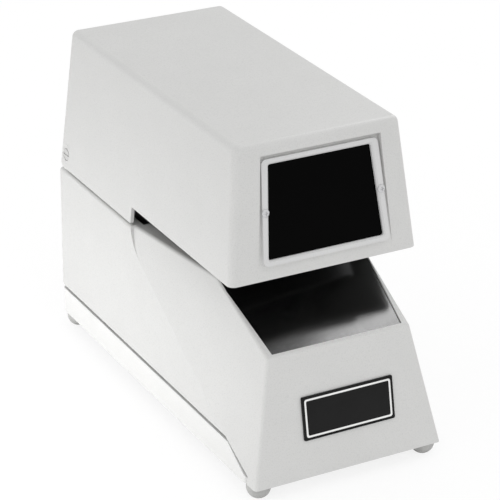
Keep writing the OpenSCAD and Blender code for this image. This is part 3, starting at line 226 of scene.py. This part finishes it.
def plated(name, color, rough, stretch=(1, 1, 1)):
    """Plated or turned metal: stretch gives the run of the fine marks."""
    t = Tree(name, color, rough, 1.0)
    marks = t.noise(700, 4, 0.7, at=t.stretched(stretch))
    clouds = t.noise(55, 3)
    t.color(t.mixed(clouds, scaled(color, 0.86), scaled(color, 1.08)))
    t.rough(t.ramp(marks, 0.3, 0.7, max(0.05, rough - 0.09), rough + 0.1))
    t.bump(marks, 0.012 * MM)
    return t.material


def moulded(name, color, rough=0.5):
    """Moulded plastic: a fine even grain with faint paler specks."""
    t = Tree(name, color, rough)
    t.color(t.mixed(t.ramp(t.noise(420, 3), 0.35, 0.7), color, scaled(color, 1.08)))
    t.rough(t.ramp(t.noise(240, 2), 0.3, 0.7, rough - 0.06, rough + 0.08))
    t.bump(t.noise(1100, 2), 0.02 * MM)
    return t.material


def inked_cloth(name, color):
    """Woven ribbon: two crossed sets of threads, wetter and drier patches of ink."""
    t = Tree(name, color, 0.8)
    t.bump(t.wave(520, "X"), 0.06 * MM)
    t.bump(t.wave(520, "DIAGONAL"), 0.05 * MM)
    t.color(t.mixed(t.ramp(t.noise(90, 4), 0.3, 0.7), color, scaled(color, 2.4)))
    t.rough(t.ramp(t.noise(200), 0.3, 0.7, 0.55, 0.9))
    t.socket("Sheen Weight", 0.25)
    return t.material


def winding(name, color):
    """Enamelled wire wound in level turns under clear varnish, with painted shade between the turns and a painted
    highlight along each turn.
    """
    t = Tree(name, color, 0.3)
    turns = t.wave(330, "Z")
    # Painted shade and highlight: the colour darkens in the grooves between turns and lightens along each turn,
    # as light would fall on round wire
    t.color(t.mixed(turns, scaled(color, 0.35), scaled(color, 1.25)))
    t.rough(t.ramp(t.noise(160), 0.3, 0.7, 0.22, 0.4))
    t.bump(turns, 0.3 * MM)
    t.socket("Coat Weight", 0.4)
    return t.material


# How far the transformer's winding stands out of its core at each end
WINDING_REACH = 7.05 * MM


def laminated(name, color, low, high):
    """Stacked core sheets, varnished, with a taped winding that stands out at both ends of the box."""
    t = Tree(name, color, 0.5)
    reach = WINDING_REACH
    core = t.within((low.x - 1, low.y + reach, low.z - 1), (high.x + 1, high.y - reach, high.z + 1))
    sheets = t.wave(420, "Y")
    steel = t.mixed(sheets, scaled(color, 0.55), scaled(color, 1.15))
    tape = t.mixed(t.noise(130, 4), (0.42, 0.29, 0.06), (0.55, 0.40, 0.10))
    t.color(t.mixed(core, tape, steel))
    t.rough(t.ramp(t.noise(180), 0.3, 0.7, 0.4, 0.6))
    t.link(t.ramp(core, 0, 1, 0, 0.6), t.shader.inputs["Metallic"])
    t.bump(sheets, 0.12 * MM)
    return t.material


# Parts on the board: their low and high corners in mm from the low corner of its box, and their colour
ON_BOARD = (
    ((11, 37, 2), (41, 51, 23.4), (0.012, 0.02, 0.06)),
    ((11, 37, 23.4), (41, 51, 24), (0.55, 0.55, 0.56)),
    ((49.5, 35.5, 2), (70.5, 52.5, 17), (0.50, 0.48, 0.42)),
    ((11.5, 5.5, 2), (60.5, 14.5, 12), (0.34, 0.35, 0.34)),
    ((15.5, 20.5, 2), (54.5, 29.5, 5), (0.012, 0.012, 0.013)),
)


def board_green(name, color, corner):
    """Solder mask over copper tracks that show as a lighter net, under parts in their own colours."""
    t = Tree(name, color, 0.35)
    tracks = t.ramp(t.cell_edges(210), 0.10, 0.16, 1.0, 0.0)
    shown = t.mixed(tracks, color, scaled(color, 1.9))
    grain = t.noise(500, 3)
    for low, high, own in ON_BOARD:
        part = t.within(*(corner + Vector(c) * MM for c in (low, high)))
        shown = t.mixed(part, shown, t.mixed(grain, scaled(own, 0.85), scaled(own, 1.15)))
    t.color(shown)
    t.rough(t.ramp(t.noise(300), 0.3, 0.7, 0.28, 0.42))
    t.bump(tracks, 0.05 * MM)
    return t.material


def gloss_black(name, color, shine):
    """Polished black acrylic or print, with the faintest haze of dust and handling."""
    t = Tree(name, color, 0.1)
    haze = t.noise(26, 4)
    t.color(t.mixed(t.ramp(haze, 0.4, 0.8), color, scaled(color, 1.6)))
    t.rough(t.ramp(haze, 0.3, 0.8, 0.07, 0.17))
    t.bump(t.noise(600, 2), 0.006 * MM)
    t.socket("Specular IOR Level", shine)
    return t.material


# ---------- Mesh helpers ----------


def soften_tree():
    """Geometry nodes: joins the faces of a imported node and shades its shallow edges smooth."""
    group = bpy.data.node_groups.new("soft_shading", "GeometryNodeTree")
    group.interface.new_socket("Geometry", in_out="INPUT", socket_type="NodeSocketGeometry")
    group.interface.new_socket("Geometry", in_out="OUTPUT", socket_type="NodeSocketGeometry")
    n, link = group.nodes, group.links.new
    start, end = n.new("NodeGroupInput"), n.new("NodeGroupOutput")
    merge = n.new("GeometryNodeMergeByDistance")
    merge.inputs["Distance"].default_value = JOIN
    plain = n.new("GeometryNodeRemoveAttribute")
    plain.inputs["Name"].default_value = "custom_normal"
    faces = n.new("GeometryNodeSetShadeSmooth")
    faces.domain = "FACE"
    edges = n.new("GeometryNodeSetShadeSmooth")
    edges.domain = "EDGE"
    edges.inputs["Shade Smooth"].default_value = False
    angle = n.new("GeometryNodeInputMeshEdgeAngle")
    steep = n.new("FunctionNodeCompare")
    steep.operation = "GREATER_THAN"
    steep.inputs[1].default_value = SMOOTH
    link(start.outputs[0], merge.inputs["Geometry"])
    link(merge.outputs["Geometry"], plain.inputs["Geometry"])
    link(plain.outputs["Geometry"], faces.inputs["Geometry"])
    link(faces.outputs["Geometry"], edges.inputs["Geometry"])
    link(angle.outputs["Unsigned Angle"], steep.inputs[0])
    link(steep.outputs[0], edges.inputs["Selection"])
    link(edges.outputs["Geometry"], end.inputs[0])
    return group


def soften(node, width):
    """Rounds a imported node's sharp edges a little and shades it evenly; its own mesh stays as packed."""
    piece = CAD[node]
    join = piece.modifiers.new("join", "NODES")
    join.node_group = bpy.data.node_groups.get("soft_shading") or soften_tree()
    flat = piece.modifiers.new("flats", "DECIMATE")
    flat.decimate_type = "DISSOLVE"
    flat.angle_limit = FLAT
    if width:
        edge = piece.modifiers.new("edges", "BEVEL")
        edge.width = width
        edge.segments = 2
        edge.limit_method = "ANGLE"
        edge.angle_limit = SHARP
    even = piece.modifiers.new("even", "WEIGHTED_NORMAL")
    even.keep_sharp = True
    even.weight = 80


def dress(material, *nodes, width=0.2 * MM):
    """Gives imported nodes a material, and edges rounded by that width."""
    for node in nodes:
        mesh = CAD[node].data
        mesh.materials.clear()
        mesh.materials.append(material)
        soften(node, width)


def new_piece(name, bm, material, body):
    """Makes a mesh object of a bmesh, in place, riding on a body."""
    mesh = bpy.data.meshes.new(name)
    bm.to_mesh(mesh)
    bm.free()
    mesh.materials.append(material)
    piece = bpy.data.objects.new(name, mesh)
    bpy.context.scene.collection.objects.link(piece)
    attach(piece, body)
    return piece


def tube(bm, path, radius, sides):
    """Adds a closed round tube along a list of points."""
    rings = []
    count = len(path)
    up = Vector((0.31, 0.17, 0.93))  # to begin with, any direction that the path doesn't start along
    for i, point in enumerate(path):
        run = (path[min(i + 1, count - 1)] - path[max(i - 1, 0)]).normalized()
        side = run.cross(up).normalized()
        up = side.cross(run).normalized()
        rings.append([
            bm.verts.new(point + radius * (math.cos(a) * side + math.sin(a) * up))
            for a in (2 * math.pi * k / sides for k in range(sides))
        ])
    for a, b in zip(rings, rings[1:]):
        for k in range(sides):
            bm.faces.new((a[k], a[(k + 1) % sides], b[(k + 1) % sides], b[k])).smooth = True
    bm.faces.new(rings[0])
    bm.faces.new(rings[-1][::-1])


# ---------- Values a user would change ----------


class StampPaint(bpy.types.PropertyGroup):
    """Colours of the outside."""

    body: FloatVectorProperty(
        name="Body", description="Enamel of the head and base", subtype="COLOR", size=3,
        default=(0.68, 0.68, 0.67), min=0, max=1)
    pan: FloatVectorProperty(
        name="Pan", description="Enamel of the base pan", subtype="COLOR", size=3, default=(0.79, 0.79, 0.78),
        min=0, max=1)
    table: FloatVectorProperty(
        name="Table", description="Black of the paper table", subtype="COLOR", size=3,
        default=(0.004, 0.004, 0.004), min=0, max=1)
    feet: FloatVectorProperty(
        name="Feet", description="Rubber of the feet", subtype="COLOR", size=3, default=(0.48, 0.48, 0.47),
        min=0, max=1)
    grain: FloatProperty(
        name="Grain", description="Fineness of the enamel's texture", default=1100, min=200, max=4000)
    depth: FloatProperty(
        name="Depth", description="Relief of the enamel's texture", default=0.00003, min=0, max=0.0005,
        subtype="DISTANCE", unit="LENGTH", precision=6)


class StampDetail(bpy.types.PropertyGroup):
    """Sizes of the fine pieces."""

    figure: FloatProperty(
        name="Figures", description="Height of the figures on the type wheels", default=0.0042, min=0.002,
        max=0.006, subtype="DISTANCE", unit="LENGTH")
    relief: FloatProperty(
        name="Relief", description="Height of the figures above their faces", default=0.0002, min=0.0001,
        max=0.0003, subtype="DISTANCE", unit="LENGTH", precision=5)
    wire: FloatProperty(
        name="Spring wire", description="Diameter of the hammer spring's wire", default=0.0012, min=0.0008,
        max=0.0014, subtype="DISTANCE", unit="LENGTH")
    turns: IntProperty(name="Spring turns", description="Turns of the hammer spring", default=6, min=3, max=7)


class StampStage(bpy.types.PropertyGroup):
    """Camera and light."""

    azimuth: FloatProperty(
        name="Azimuth", description="Where the camera stands, from the front towards the right",
        default=math.radians(-28.89), subtype="ANGLE", unit="ROTATION")
    elevation: FloatProperty(
        name="Elevation", description="Height of the camera's line of sight", default=math.radians(25.28),
        subtype="ANGLE", unit="ROTATION")
    roll: FloatProperty(
        name="Roll", description="Turn of the camera about its line of sight", default=math.radians(0.69),
        subtype="ANGLE", unit="ROTATION")
    distance: FloatProperty(
        name="Distance", description="From the camera to the point it looks at", default=1.5706, min=0.5,
        subtype="DISTANCE", unit="LENGTH")
    target: FloatVectorProperty(
        name="Target", description="Point that the camera looks at", size=3,
        default=(0.01063, 0.00967, 0.09473), subtype="TRANSLATION", unit="LENGTH")
    lens: FloatProperty(name="Lens", description="Focal length in millimetres", default=166.82, min=20)
    ambient: FloatProperty(
        name="Ambient", description="Strength of the light from all round", default=0.89, min=0)
    key: FloatProperty(
        name="Key", description="Power of the high lamp on the left, in watts", default=0.25, min=0)
    low: FloatProperty(
        name="Low", description="Power of the low strip along the left side, in watts", default=0.21, min=0)
    front: FloatProperty(
        name="Front", description="Power of the low strip in front, in watts", default=0.06, min=0)
    gleam: FloatProperty(
        name="Gleam", description="Power of the lamp that only shows as a gleam on the table", default=1.1,
        min=0)


# ---------- Operators ----------


class Maker:
    """What the operators share."""

    bl_options = {"REGISTER", "UNDO"}

    def execute(self, context):
        self.make(context.scene)
        return {"FINISHED"}


class STAMP_OT_camera(Maker, bpy.types.Operator):
    """Set the camera at the photograph's angle"""

    bl_idname = "stamp.camera"
    bl_label = "Camera"

    def make(self, scene):
        s = scene.stamp_stage
        az, el = s.azimuth, s.elevation
        back = Vector((math.sin(az) * math.cos(el), -math.cos(az) * math.cos(el), math.sin(el)))
        data = bpy.data.cameras.new("camera")
        data.lens = s.lens
        data.sensor_width = 36
        data.clip_start, data.clip_end = 0.05, 50
        camera = bpy.data.objects.new("camera", data)
        scene.collection.objects.link(camera)
        camera.rotation_mode = "QUATERNION"
        camera.location = Vector(s.target) + back * s.distance
        roll = Matrix.Rotation(s.roll, 4, back).to_quaternion()
        camera.rotation_quaternion = roll @ (-back).to_track_quat("-Z", "Y")
        scene.camera = camera


# Each lamp's name, place, width and height, and how high above the frame's origin it aims
LAMPS = (
    ("key", (-1.5, -0.35, 0.55), 1.3, 1.3, 0.09),
    ("low", (-0.25, 0.03, 0.03), 0.42, 0.02, 0.05),
    ("front", (0.0, -0.42, 0.02), 0.3, 0.02, 0.03),
    ("gleam", (0.33, 0.07, 0.53), 0.25, 0.25, 0.09),
)

# Half the floor's side, its grey, and the share of it that glows; the rest is lit and takes the shadow
FLOOR_HALF = 6.0
FLOOR_GREY = 0.86
FLOOR_SHOWN = 0.75


class STAMP_OT_stage(Maker, bpy.types.Operator):
    """Make the pale floor, the world and the lamps"""

    bl_idname = "stamp.stage"
    bl_label = "Stage"

    def make(self, scene):
        s = scene.stamp_stage
        scene.view_settings.view_transform = "Standard"
        bm = bmesh.new()
        corners = [(-1, -1), (1, -1), (1, 1), (-1, 1)]
        bm.faces.new([bm.verts.new((x * FLOOR_HALF, y * FLOOR_HALF, 0)) for x, y in corners])
        mesh = bpy.data.meshes.new("floor")
        bm.to_mesh(mesh)
        bm.free()
        floor = bpy.data.objects.new("floor", mesh)
        scene.collection.objects.link(floor)
        mesh.materials.append(self.floor_finish(s.ambient))
        self.world(scene, s.ambient)
        for name, place, width, height, aim_z in LAMPS:
            self.lamp(scene, name, place, width, height, aim_z)
        gleam = scene.objects["gleam"]
        gleam.visible_diffuse, gleam.visible_glossy = False, True

    def floor_finish(self, ambient):
        """White where nothing shades it; a part of it is lit as the object is, and keeps its shadow."""
        t = Tree("pale_floor", (FLOOR_GREY,) * 3, 0.9)
        t.color(t.mixed(t.noise(5, 2), (0.85, 0.85, 0.85), (0.88, 0.88, 0.88)))
        t.socket("Specular IOR Level", 0.1)
        light = t.nodes.new("ShaderNodeEmission")
        light.inputs["Strength"].default_value = (1 - (1 - FLOOR_SHOWN) * FLOOR_GREY * ambient) / FLOOR_SHOWN
        both = t.nodes.new("ShaderNodeMixShader")
        share = t.nodes.new("ShaderNodeMath")
        share.operation = "MULTIPLY"
        share.inputs[1].default_value = FLOOR_SHOWN
        t.link(self.seen(t.nodes, t.link), share.inputs[0])
        t.link(share.outputs[0], both.inputs["Fac"])
        t.link(t.shader.outputs[0], both.inputs[1])
        t.link(light.outputs[0], both.inputs[2])
        t.link(both.outputs[0], t.nodes["Material Output"].inputs["Surface"])
        return t.material

    def seen(self, nodes, link):
        """One for rays that show the backdrop: straight, mirrored or through glass."""
        path = nodes.new("ShaderNodeLightPath")
        rays = path.outputs["Is Camera Ray"]
        for kind in ("Is Glossy Ray", "Is Transmission Ray"):
            either = nodes.new("ShaderNodeMath")
            either.operation = "MAXIMUM"
            link(rays, either.inputs[0])
            link(path.outputs[kind], either.inputs[1])
            rays = either.outputs[0]
        return rays

    def world(self, scene, ambient):
        world = bpy.data.worlds.new("studio")
        scene.world = world
        world.use_nodes = True
        n, link = world.node_tree.nodes, world.node_tree.links.new
        back = n["Background"]
        back.inputs["Color"].default_value = (1, 1, 1, 1)
        strength = n.new("ShaderNodeMapRange")
        strength.inputs["To Min"].default_value = ambient
        strength.inputs["To Max"].default_value = 1.0
        link(self.seen(n, link), strength.inputs["Value"])
        link(strength.outputs["Result"], back.inputs["Strength"])

    def lamp(self, scene, name, place, width, height, aim_z):
        data = bpy.data.lights.new(name, "AREA")
        data.shape = "RECTANGLE"
        data.size, data.size_y = width, height
        data.energy = getattr(scene.stamp_stage, name)
        lamp = bpy.data.objects.new(name, data)
        scene.collection.objects.link(lamp)
        lamp.location = place
        aim = Vector((0, 0, aim_z)) - Vector(place)
        lamp.rotation_mode = "QUATERNION"
        lamp.rotation_quaternion = aim.to_track_quat("-Z", "Y")
        lamp.visible_camera = False
        lamp.visible_glossy = False


class STAMP_OT_covers(Maker, bpy.types.Operator):
    """Paint the head cover, the base cover and the pan"""

    bl_idname = "stamp.covers"
    bl_label = "Covers"

    def make(self, scene):
        p = scene.stamp_paint
        dress(enamel("grey_paint", tuple(p.body), p.grain, p.depth), "base_cover", "head_cover", width=0.4 * MM)
        dress(enamel("pan_paint", tuple(p.pan), p.grain, p.depth), "base_pan")
        dress(rubber("black_rubber", (0.02, 0.02, 0.02)), "cord_bushing", "cover_bumpers", "hammer_pad")
        dress(rubber("foot_rubber", tuple(p.feet), 0.2), "rubber_feet")


class STAMP_OT_table(Maker, bpy.types.Operator):
    """Finish the black paper table"""

    bl_idname = "stamp.table"
    bl_label = "Paper table"

    def make(self, scene):
        dress(satin_black("black_paint", tuple(scene.stamp_paint.table)), "paper_table", width=0.3 * MM)


class STAMP_OT_window(Maker, bpy.types.Operator):
    """Finish the window's frame and its black panel"""

    bl_idname = "stamp.window"
    bl_label = "Window"

    def make(self, scene):
        dress(enamel("window_trim", (0.70, 0.70, 0.70), 1500, 0.01 * MM), "window_frame")
        dress(gloss_black("window_black", (0.0005, 0.0005, 0.0005), 0.03), "window_panel", width=0)


# The panel's lean that the nameplate follows, the plate's thickness, the line's two edges (how far each
# lies inside the plate's outline, and its corner radius), how deep and how proud of the plate's face the
# line is, and the points on each of its corners
PLATE_LEAN = math.radians(11.7)
PLATE_THICK = 1.2 * MM
LINE_EDGES = ((1.8 * MM, 1.6 * MM), (3.05 * MM, 1.0 * MM))
LINE_SUNK = 0.04 * MM
LINE_PROUD = 0.05 * MM
CORNER_POINTS = 7


class STAMP_OT_nameplate(Maker, bpy.types.Operator):
    """Finish the bare nameplate and lay its silver line"""

    bl_idname = "stamp.nameplate"
    bl_label = "Nameplate"

    def make(self, scene):
        dress(gloss_black("nameplate", (0.006, 0.006, 0.006), 0.15), "nameplate", width=0.1 * MM)
        self.line()

    def line(self):
        """A thin line over the plate's sunk frame."""
        low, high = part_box("nameplate")
        middle = (low + high) / 2
        out = Vector((0, -math.cos(PLATE_LEAN), math.sin(PLATE_LEAN)))
        up = Vector((0, math.sin(PLATE_LEAN), math.cos(PLATE_LEAN)))
        right = Vector((1, 0, 0))
        height = (high.z - low.z - PLATE_THICK * math.sin(PLATE_LEAN)) / math.cos(PLATE_LEAN)
        width = high.x - low.x
        bm = bmesh.new()
        loops = []
        for inset, radius in LINE_EDGES:
            w, h = width / 2 - inset, height / 2 - inset
            loop = []
            for cx, cy, a0 in ((w, h, 0), (-w, h, 90), (-w, -h, 180), (w, -h, 270)):
                for k in range(CORNER_POINTS):
                    a = math.radians(a0 + 90 * k / (CORNER_POINTS - 1))
                    x = cx - math.copysign(radius, cx) + radius * math.cos(a)
                    y = cy - math.copysign(radius, cy) + radius * math.sin(a)
                    loop.append((x, y))
            loops.append(loop)
        levels = []
        for depth in (PLATE_THICK / 2 - LINE_SUNK, PLATE_THICK / 2 + LINE_PROUD):
            levels.append([
                [bm.verts.new(middle + right * x + up * y + out * depth) for x, y in loop] for loop in loops
            ])
        (low_out, low_in), (top_out, top_in) = levels
        count = len(low_out)
        for k in range(count):
            j = (k + 1) % count
            bm.faces.new((top_out[k], top_out[j], top_in[j], top_in[k]))
            bm.faces.new((low_out[j], low_out[k], low_in[k], low_in[j]))
            bm.faces.new((low_out[k], low_out[j], top_out[j], top_out[k]))
            bm.faces.new((low_in[j], low_in[k], top_in[k], top_in[j]))
        bmesh.ops.recalc_face_normals(bm, faces=bm.faces)
        silver = plated("silver_line", (0.86, 0.86, 0.85), 0.35)
        new_piece("nameplate_line", bm, silver, "root")


class STAMP_OT_fasteners(Maker, bpy.types.Operator):
    """Finish the screws, the lock and the pivots"""

    bl_idname = "stamp.fasteners"
    bl_label = "Screws and lock"

    def make(self, scene):
        zinc = plated("zinc_screw", (0.62, 0.62, 0.63), 0.3)
        dress(zinc, "foot_screws", "cover_screws", "frame_screws", "window_screws", width=0.1 * MM)
        dress(enamel("pivot_paint", (0.60, 0.60, 0.59), 1100, 0.02 * MM), "pivot_screws", width=0.1 * MM)
        dress(plated("chrome", (0.75, 0.75, 0.76), 0.08), "lock_body")
        dress(plated("lock_steel", (0.62, 0.62, 0.63), 0.22), "lock_barrel")


class STAMP_OT_frame(Maker, bpy.types.Operator):
    """Finish the plated frame, its rods and the ribbon plate"""

    bl_idname = "stamp.frame"
    bl_label = "Frame"

    def make(self, scene):
        sheet = plated("zinc_plate", (0.60, 0.61, 0.62), 0.36, (1, 8, 1))
        dress(sheet, "frame_left", "frame_right", "ribbon_plate", "solenoid_frame", "hammer_arm", "paper_stop")
        turned = plated("turned_steel", (0.66, 0.66, 0.68), 0.24, (12, 1, 1))
        dress(turned, "tie_rods", "type_shaft", "idler_stud", "motor_pinion", "spool_shafts", "ribbon_guides",
              "hammer_shaft", "solenoid_plunger", "trigger_lever", width=0.1 * MM)
        dress(plated("bronze", (0.42, 0.26, 0.10), 0.4), "shaft_bushes")


# The font size at which a figure is about one unit high, how narrow the figures are drawn, how far apart
# two of a number stand as a share of their height, and the most that may be
FONT_SIZE = 1.4
FIGURE_NARROW = 0.9
FIGURE_STEP = 0.8
FIGURE_PITCH = 2.5 * MM


class STAMP_OT_type_wheels(Maker, bpy.types.Operator):
    """Finish the type wheels and raise their figures"""

    bl_idname = "stamp.type_wheels"
    bl_label = "Type wheels"

    def make(self, scene):
        brass = plated("brass", (0.62, 0.43, 0.16), 0.28, (10, 1, 1))
        wheels = ("minute_wheel", "hour_wheel", "day_wheel", "month_wheel", "year_wheel")
        dress(brass, *wheels, "drive_gear", width=0.1 * MM)
        dress(plated("spring_steel", (0.45, 0.45, 0.47), 0.3), "wheel_detents", width=0.1 * MM)
        self.glyphs = {c: self.glyph(scene, c) for c in "0123456789"}
        pale = plated("type_face", (0.66, 0.52, 0.26), 0.35)
        d = scene.stamp_detail
        for wheel, body, words, height in (
            ("minute", "minute_train", ["%02d" % n for n in range(60)], 1.5 * MM),
            ("hour", "hour", ["%02d" % n for n in range(24)], 3.6 * MM),
            ("day", "day", [str(n) for n in range(1, 32)], 2.8 * MM),
            ("month", "month", [str(n) for n in range(1, 13)], d.figure),
            ("year", "year", [str(n) for n in range(24, 36)], d.figure),
        ):
            self.figures(wheel, body, words, height, d.relief, pale)
        for mesh in self.glyphs.values():
            bpy.data.meshes.remove(mesh)

    def glyph(self, scene, character):
        """One figure as a mesh about one unit high, centred, one unit thick."""
        curve = bpy.data.curves.new("figure", "FONT")
        curve.body = character
        curve.align_x, curve.align_y = "CENTER", "CENTER"
        curve.size = FONT_SIZE
        curve.resolution_u = 3
        curve.extrude = 0.5
        text = bpy.data.objects.new("figure", curve)
        scene.collection.objects.link(text)
        mesh = bpy.data.meshes.new_from_object(text.evaluated_get(bpy.context.evaluated_depsgraph_get()))
        bpy.data.objects.remove(text)
        bpy.data.curves.remove(curve)
        return mesh

    def figures(self, wheel, body, words, height, relief, material):
        """Raises mirrored figures on a wheel's faces, so that they print the right way round."""
        low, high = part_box(wheel + "_wheel")
        centre = (low + high) / 2
        radius = (high.z - low.z) / 2
        bm = bmesh.new()
        for i, word in enumerate(words):
            a = 2 * math.pi * i / len(words)
            out = Vector((0, math.sin(a), -math.cos(a)))
            round_rim = Vector((0, math.cos(a), math.sin(a)))
            for k, character in enumerate(word):
                shift = (k - (len(word) - 1) / 2) * min(FIGURE_PITCH, height * FIGURE_STEP)
                place = centre + out * radius + Vector((shift, 0, 0))
                turn = Matrix((
                    (height * FIGURE_NARROW, 0, 0, place.x),
                    (0, round_rim.y * height, out.y * relief, place.y),
                    (0, round_rim.z * height, out.z * relief, place.z),
                    (0, 0, 0, 1),
                ))
                copy = self.glyphs[character].copy()
                copy.transform(turn)
                bm.from_mesh(copy)
                bpy.data.meshes.remove(copy)
        bmesh.ops.reverse_faces(bm, faces=bm.faces)
        new_piece(wheel + "_figures", bm, material, body)


class STAMP_OT_drive(Maker, bpy.types.Operator):
    """Finish the motor and the idler gear"""

    bl_idname = "stamp.drive"
    bl_label = "Drive"

    def make(self, scene):
        dress(moulded("gear_plastic", (0.72, 0.69, 0.60), 0.45), "idler_gear", width=0.1 * MM)
        dress(plated("motor_can", (0.55, 0.56, 0.58), 0.4), "drive_motor")


class STAMP_OT_ribbon(Maker, bpy.types.Operator):
    """Finish the spools and the inked ribbon"""

    bl_idname = "stamp.ribbon"
    bl_label = "Ribbon"

    def make(self, scene):
        dress(moulded("spool_plastic", (0.03, 0.03, 0.035), 0.4), "front_spool", "rear_spool")
        cloth = inked_cloth("ribbon", (0.012, 0.008, 0.022))
        dress(cloth, "front_ribbon_roll", "rear_ribbon_roll", "ink_ribbon", width=0)


# Points on each turn of the spring's wire, and sides of the wire
STEPS_A_TURN = 28
WIRE_SIDES = 14


class STAMP_OT_hammer(Maker, bpy.types.Operator):
    """Finish the hammer's coil and wind its spring"""

    bl_idname = "stamp.hammer"
    bl_label = "Hammer"

    def make(self, scene):
        dress(winding("coil", (0.22, 0.06, 0.015)), "solenoid_coil")
        self.spring(scene.stamp_detail)

    def spring(self, d):
        """A coil of round wire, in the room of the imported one."""
        low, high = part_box("hammer_spring")
        centre_y, centre_z = (low.y + high.y) / 2, (low.z + high.z) / 2
        wire = d.wire / 2
        radius = (high.z - low.z) / 2 - wire
        x0, x1 = low.x + wire, high.x - wire
        steps = STEPS_A_TURN * d.turns
        path = []
        for i in range(steps + 1):
            a = 2 * math.pi * i / STEPS_A_TURN
            x = x0 + (x1 - x0) * i / steps
            path.append(Vector((x, centre_y + radius * math.cos(a), centre_z + radius * math.sin(a))))
        bm = bmesh.new()
        tube(bm, path, wire, WIRE_SIDES)
        steel = plated("spring_wire", (0.40, 0.40, 0.42), 0.25)
        piece = new_piece("hammer_spring_wire", bm, steel, "root")
        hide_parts("hammer_spring")


class STAMP_OT_electrics(Maker, bpy.types.Operator):
    """Finish the board, the transformer and the switch"""

    bl_idname = "stamp.electrics"
    bl_label = "Electrics"

    def make(self, scene):
        dress(board_green("board", (0.02, 0.13, 0.05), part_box("circuit_board")[0]), "circuit_board")
        dress(laminated("core_steel", (0.33, 0.34, 0.36), *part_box("transformer")), "transformer")
        dress(moulded("black_plastic", (0.02, 0.02, 0.02)), "trip_switch")


class STAMP_PT_panel(bpy.types.Panel):
    """Lists the operators and the values they use"""

    bl_label = "Stamp machine"
    bl_idname = "STAMP_PT_panel"
    bl_space_type = "VIEW_3D"
    bl_region_type = "UI"
    bl_category = "Stamp"

    def draw(self, context):
        for kind in OPERATORS:
            self.layout.operator(kind.bl_idname)
        for group in ("stamp_paint", "stamp_detail", "stamp_stage"):
            values = getattr(context.scene, group)
            column = self.layout.column()
            for key in values.bl_rna.properties.keys():
                if key not in ("rna_type", "name"):
                    column.prop(values, key)


OPERATORS = (
    STAMP_OT_camera, STAMP_OT_stage, STAMP_OT_covers, STAMP_OT_table, STAMP_OT_window, STAMP_OT_nameplate,
    STAMP_OT_fasteners, STAMP_OT_frame, STAMP_OT_type_wheels, STAMP_OT_drive, STAMP_OT_ribbon, STAMP_OT_hammer,
    STAMP_OT_electrics,
)
CLASSES = (StampPaint, StampDetail, StampStage, *OPERATORS, STAMP_PT_panel)


def register():
    for kind in CLASSES:
        bpy.utils.register_class(kind)
    bpy.types.Scene.stamp_paint = PointerProperty(type=StampPaint)
    bpy.types.Scene.stamp_detail = PointerProperty(type=StampDetail)
    bpy.types.Scene.stamp_stage = PointerProperty(type=StampStage)


def unregister():
    del bpy.types.Scene.stamp_paint, bpy.types.Scene.stamp_detail, bpy.types.Scene.stamp_stage
    for kind in reversed(CLASSES):
        bpy.utils.unregister_class(kind)


def main():
    register()
    for call in (
        bpy.ops.stamp.camera, bpy.ops.stamp.stage, bpy.ops.stamp.covers, bpy.ops.stamp.table,
        bpy.ops.stamp.window, bpy.ops.stamp.nameplate, bpy.ops.stamp.fasteners, bpy.ops.stamp.frame,
        bpy.ops.stamp.type_wheels, bpy.ops.stamp.drive, bpy.ops.stamp.ribbon, bpy.ops.stamp.hammer,
        bpy.ops.stamp.electrics,
    ):
        call()


if __name__ == "__main__":
    main()
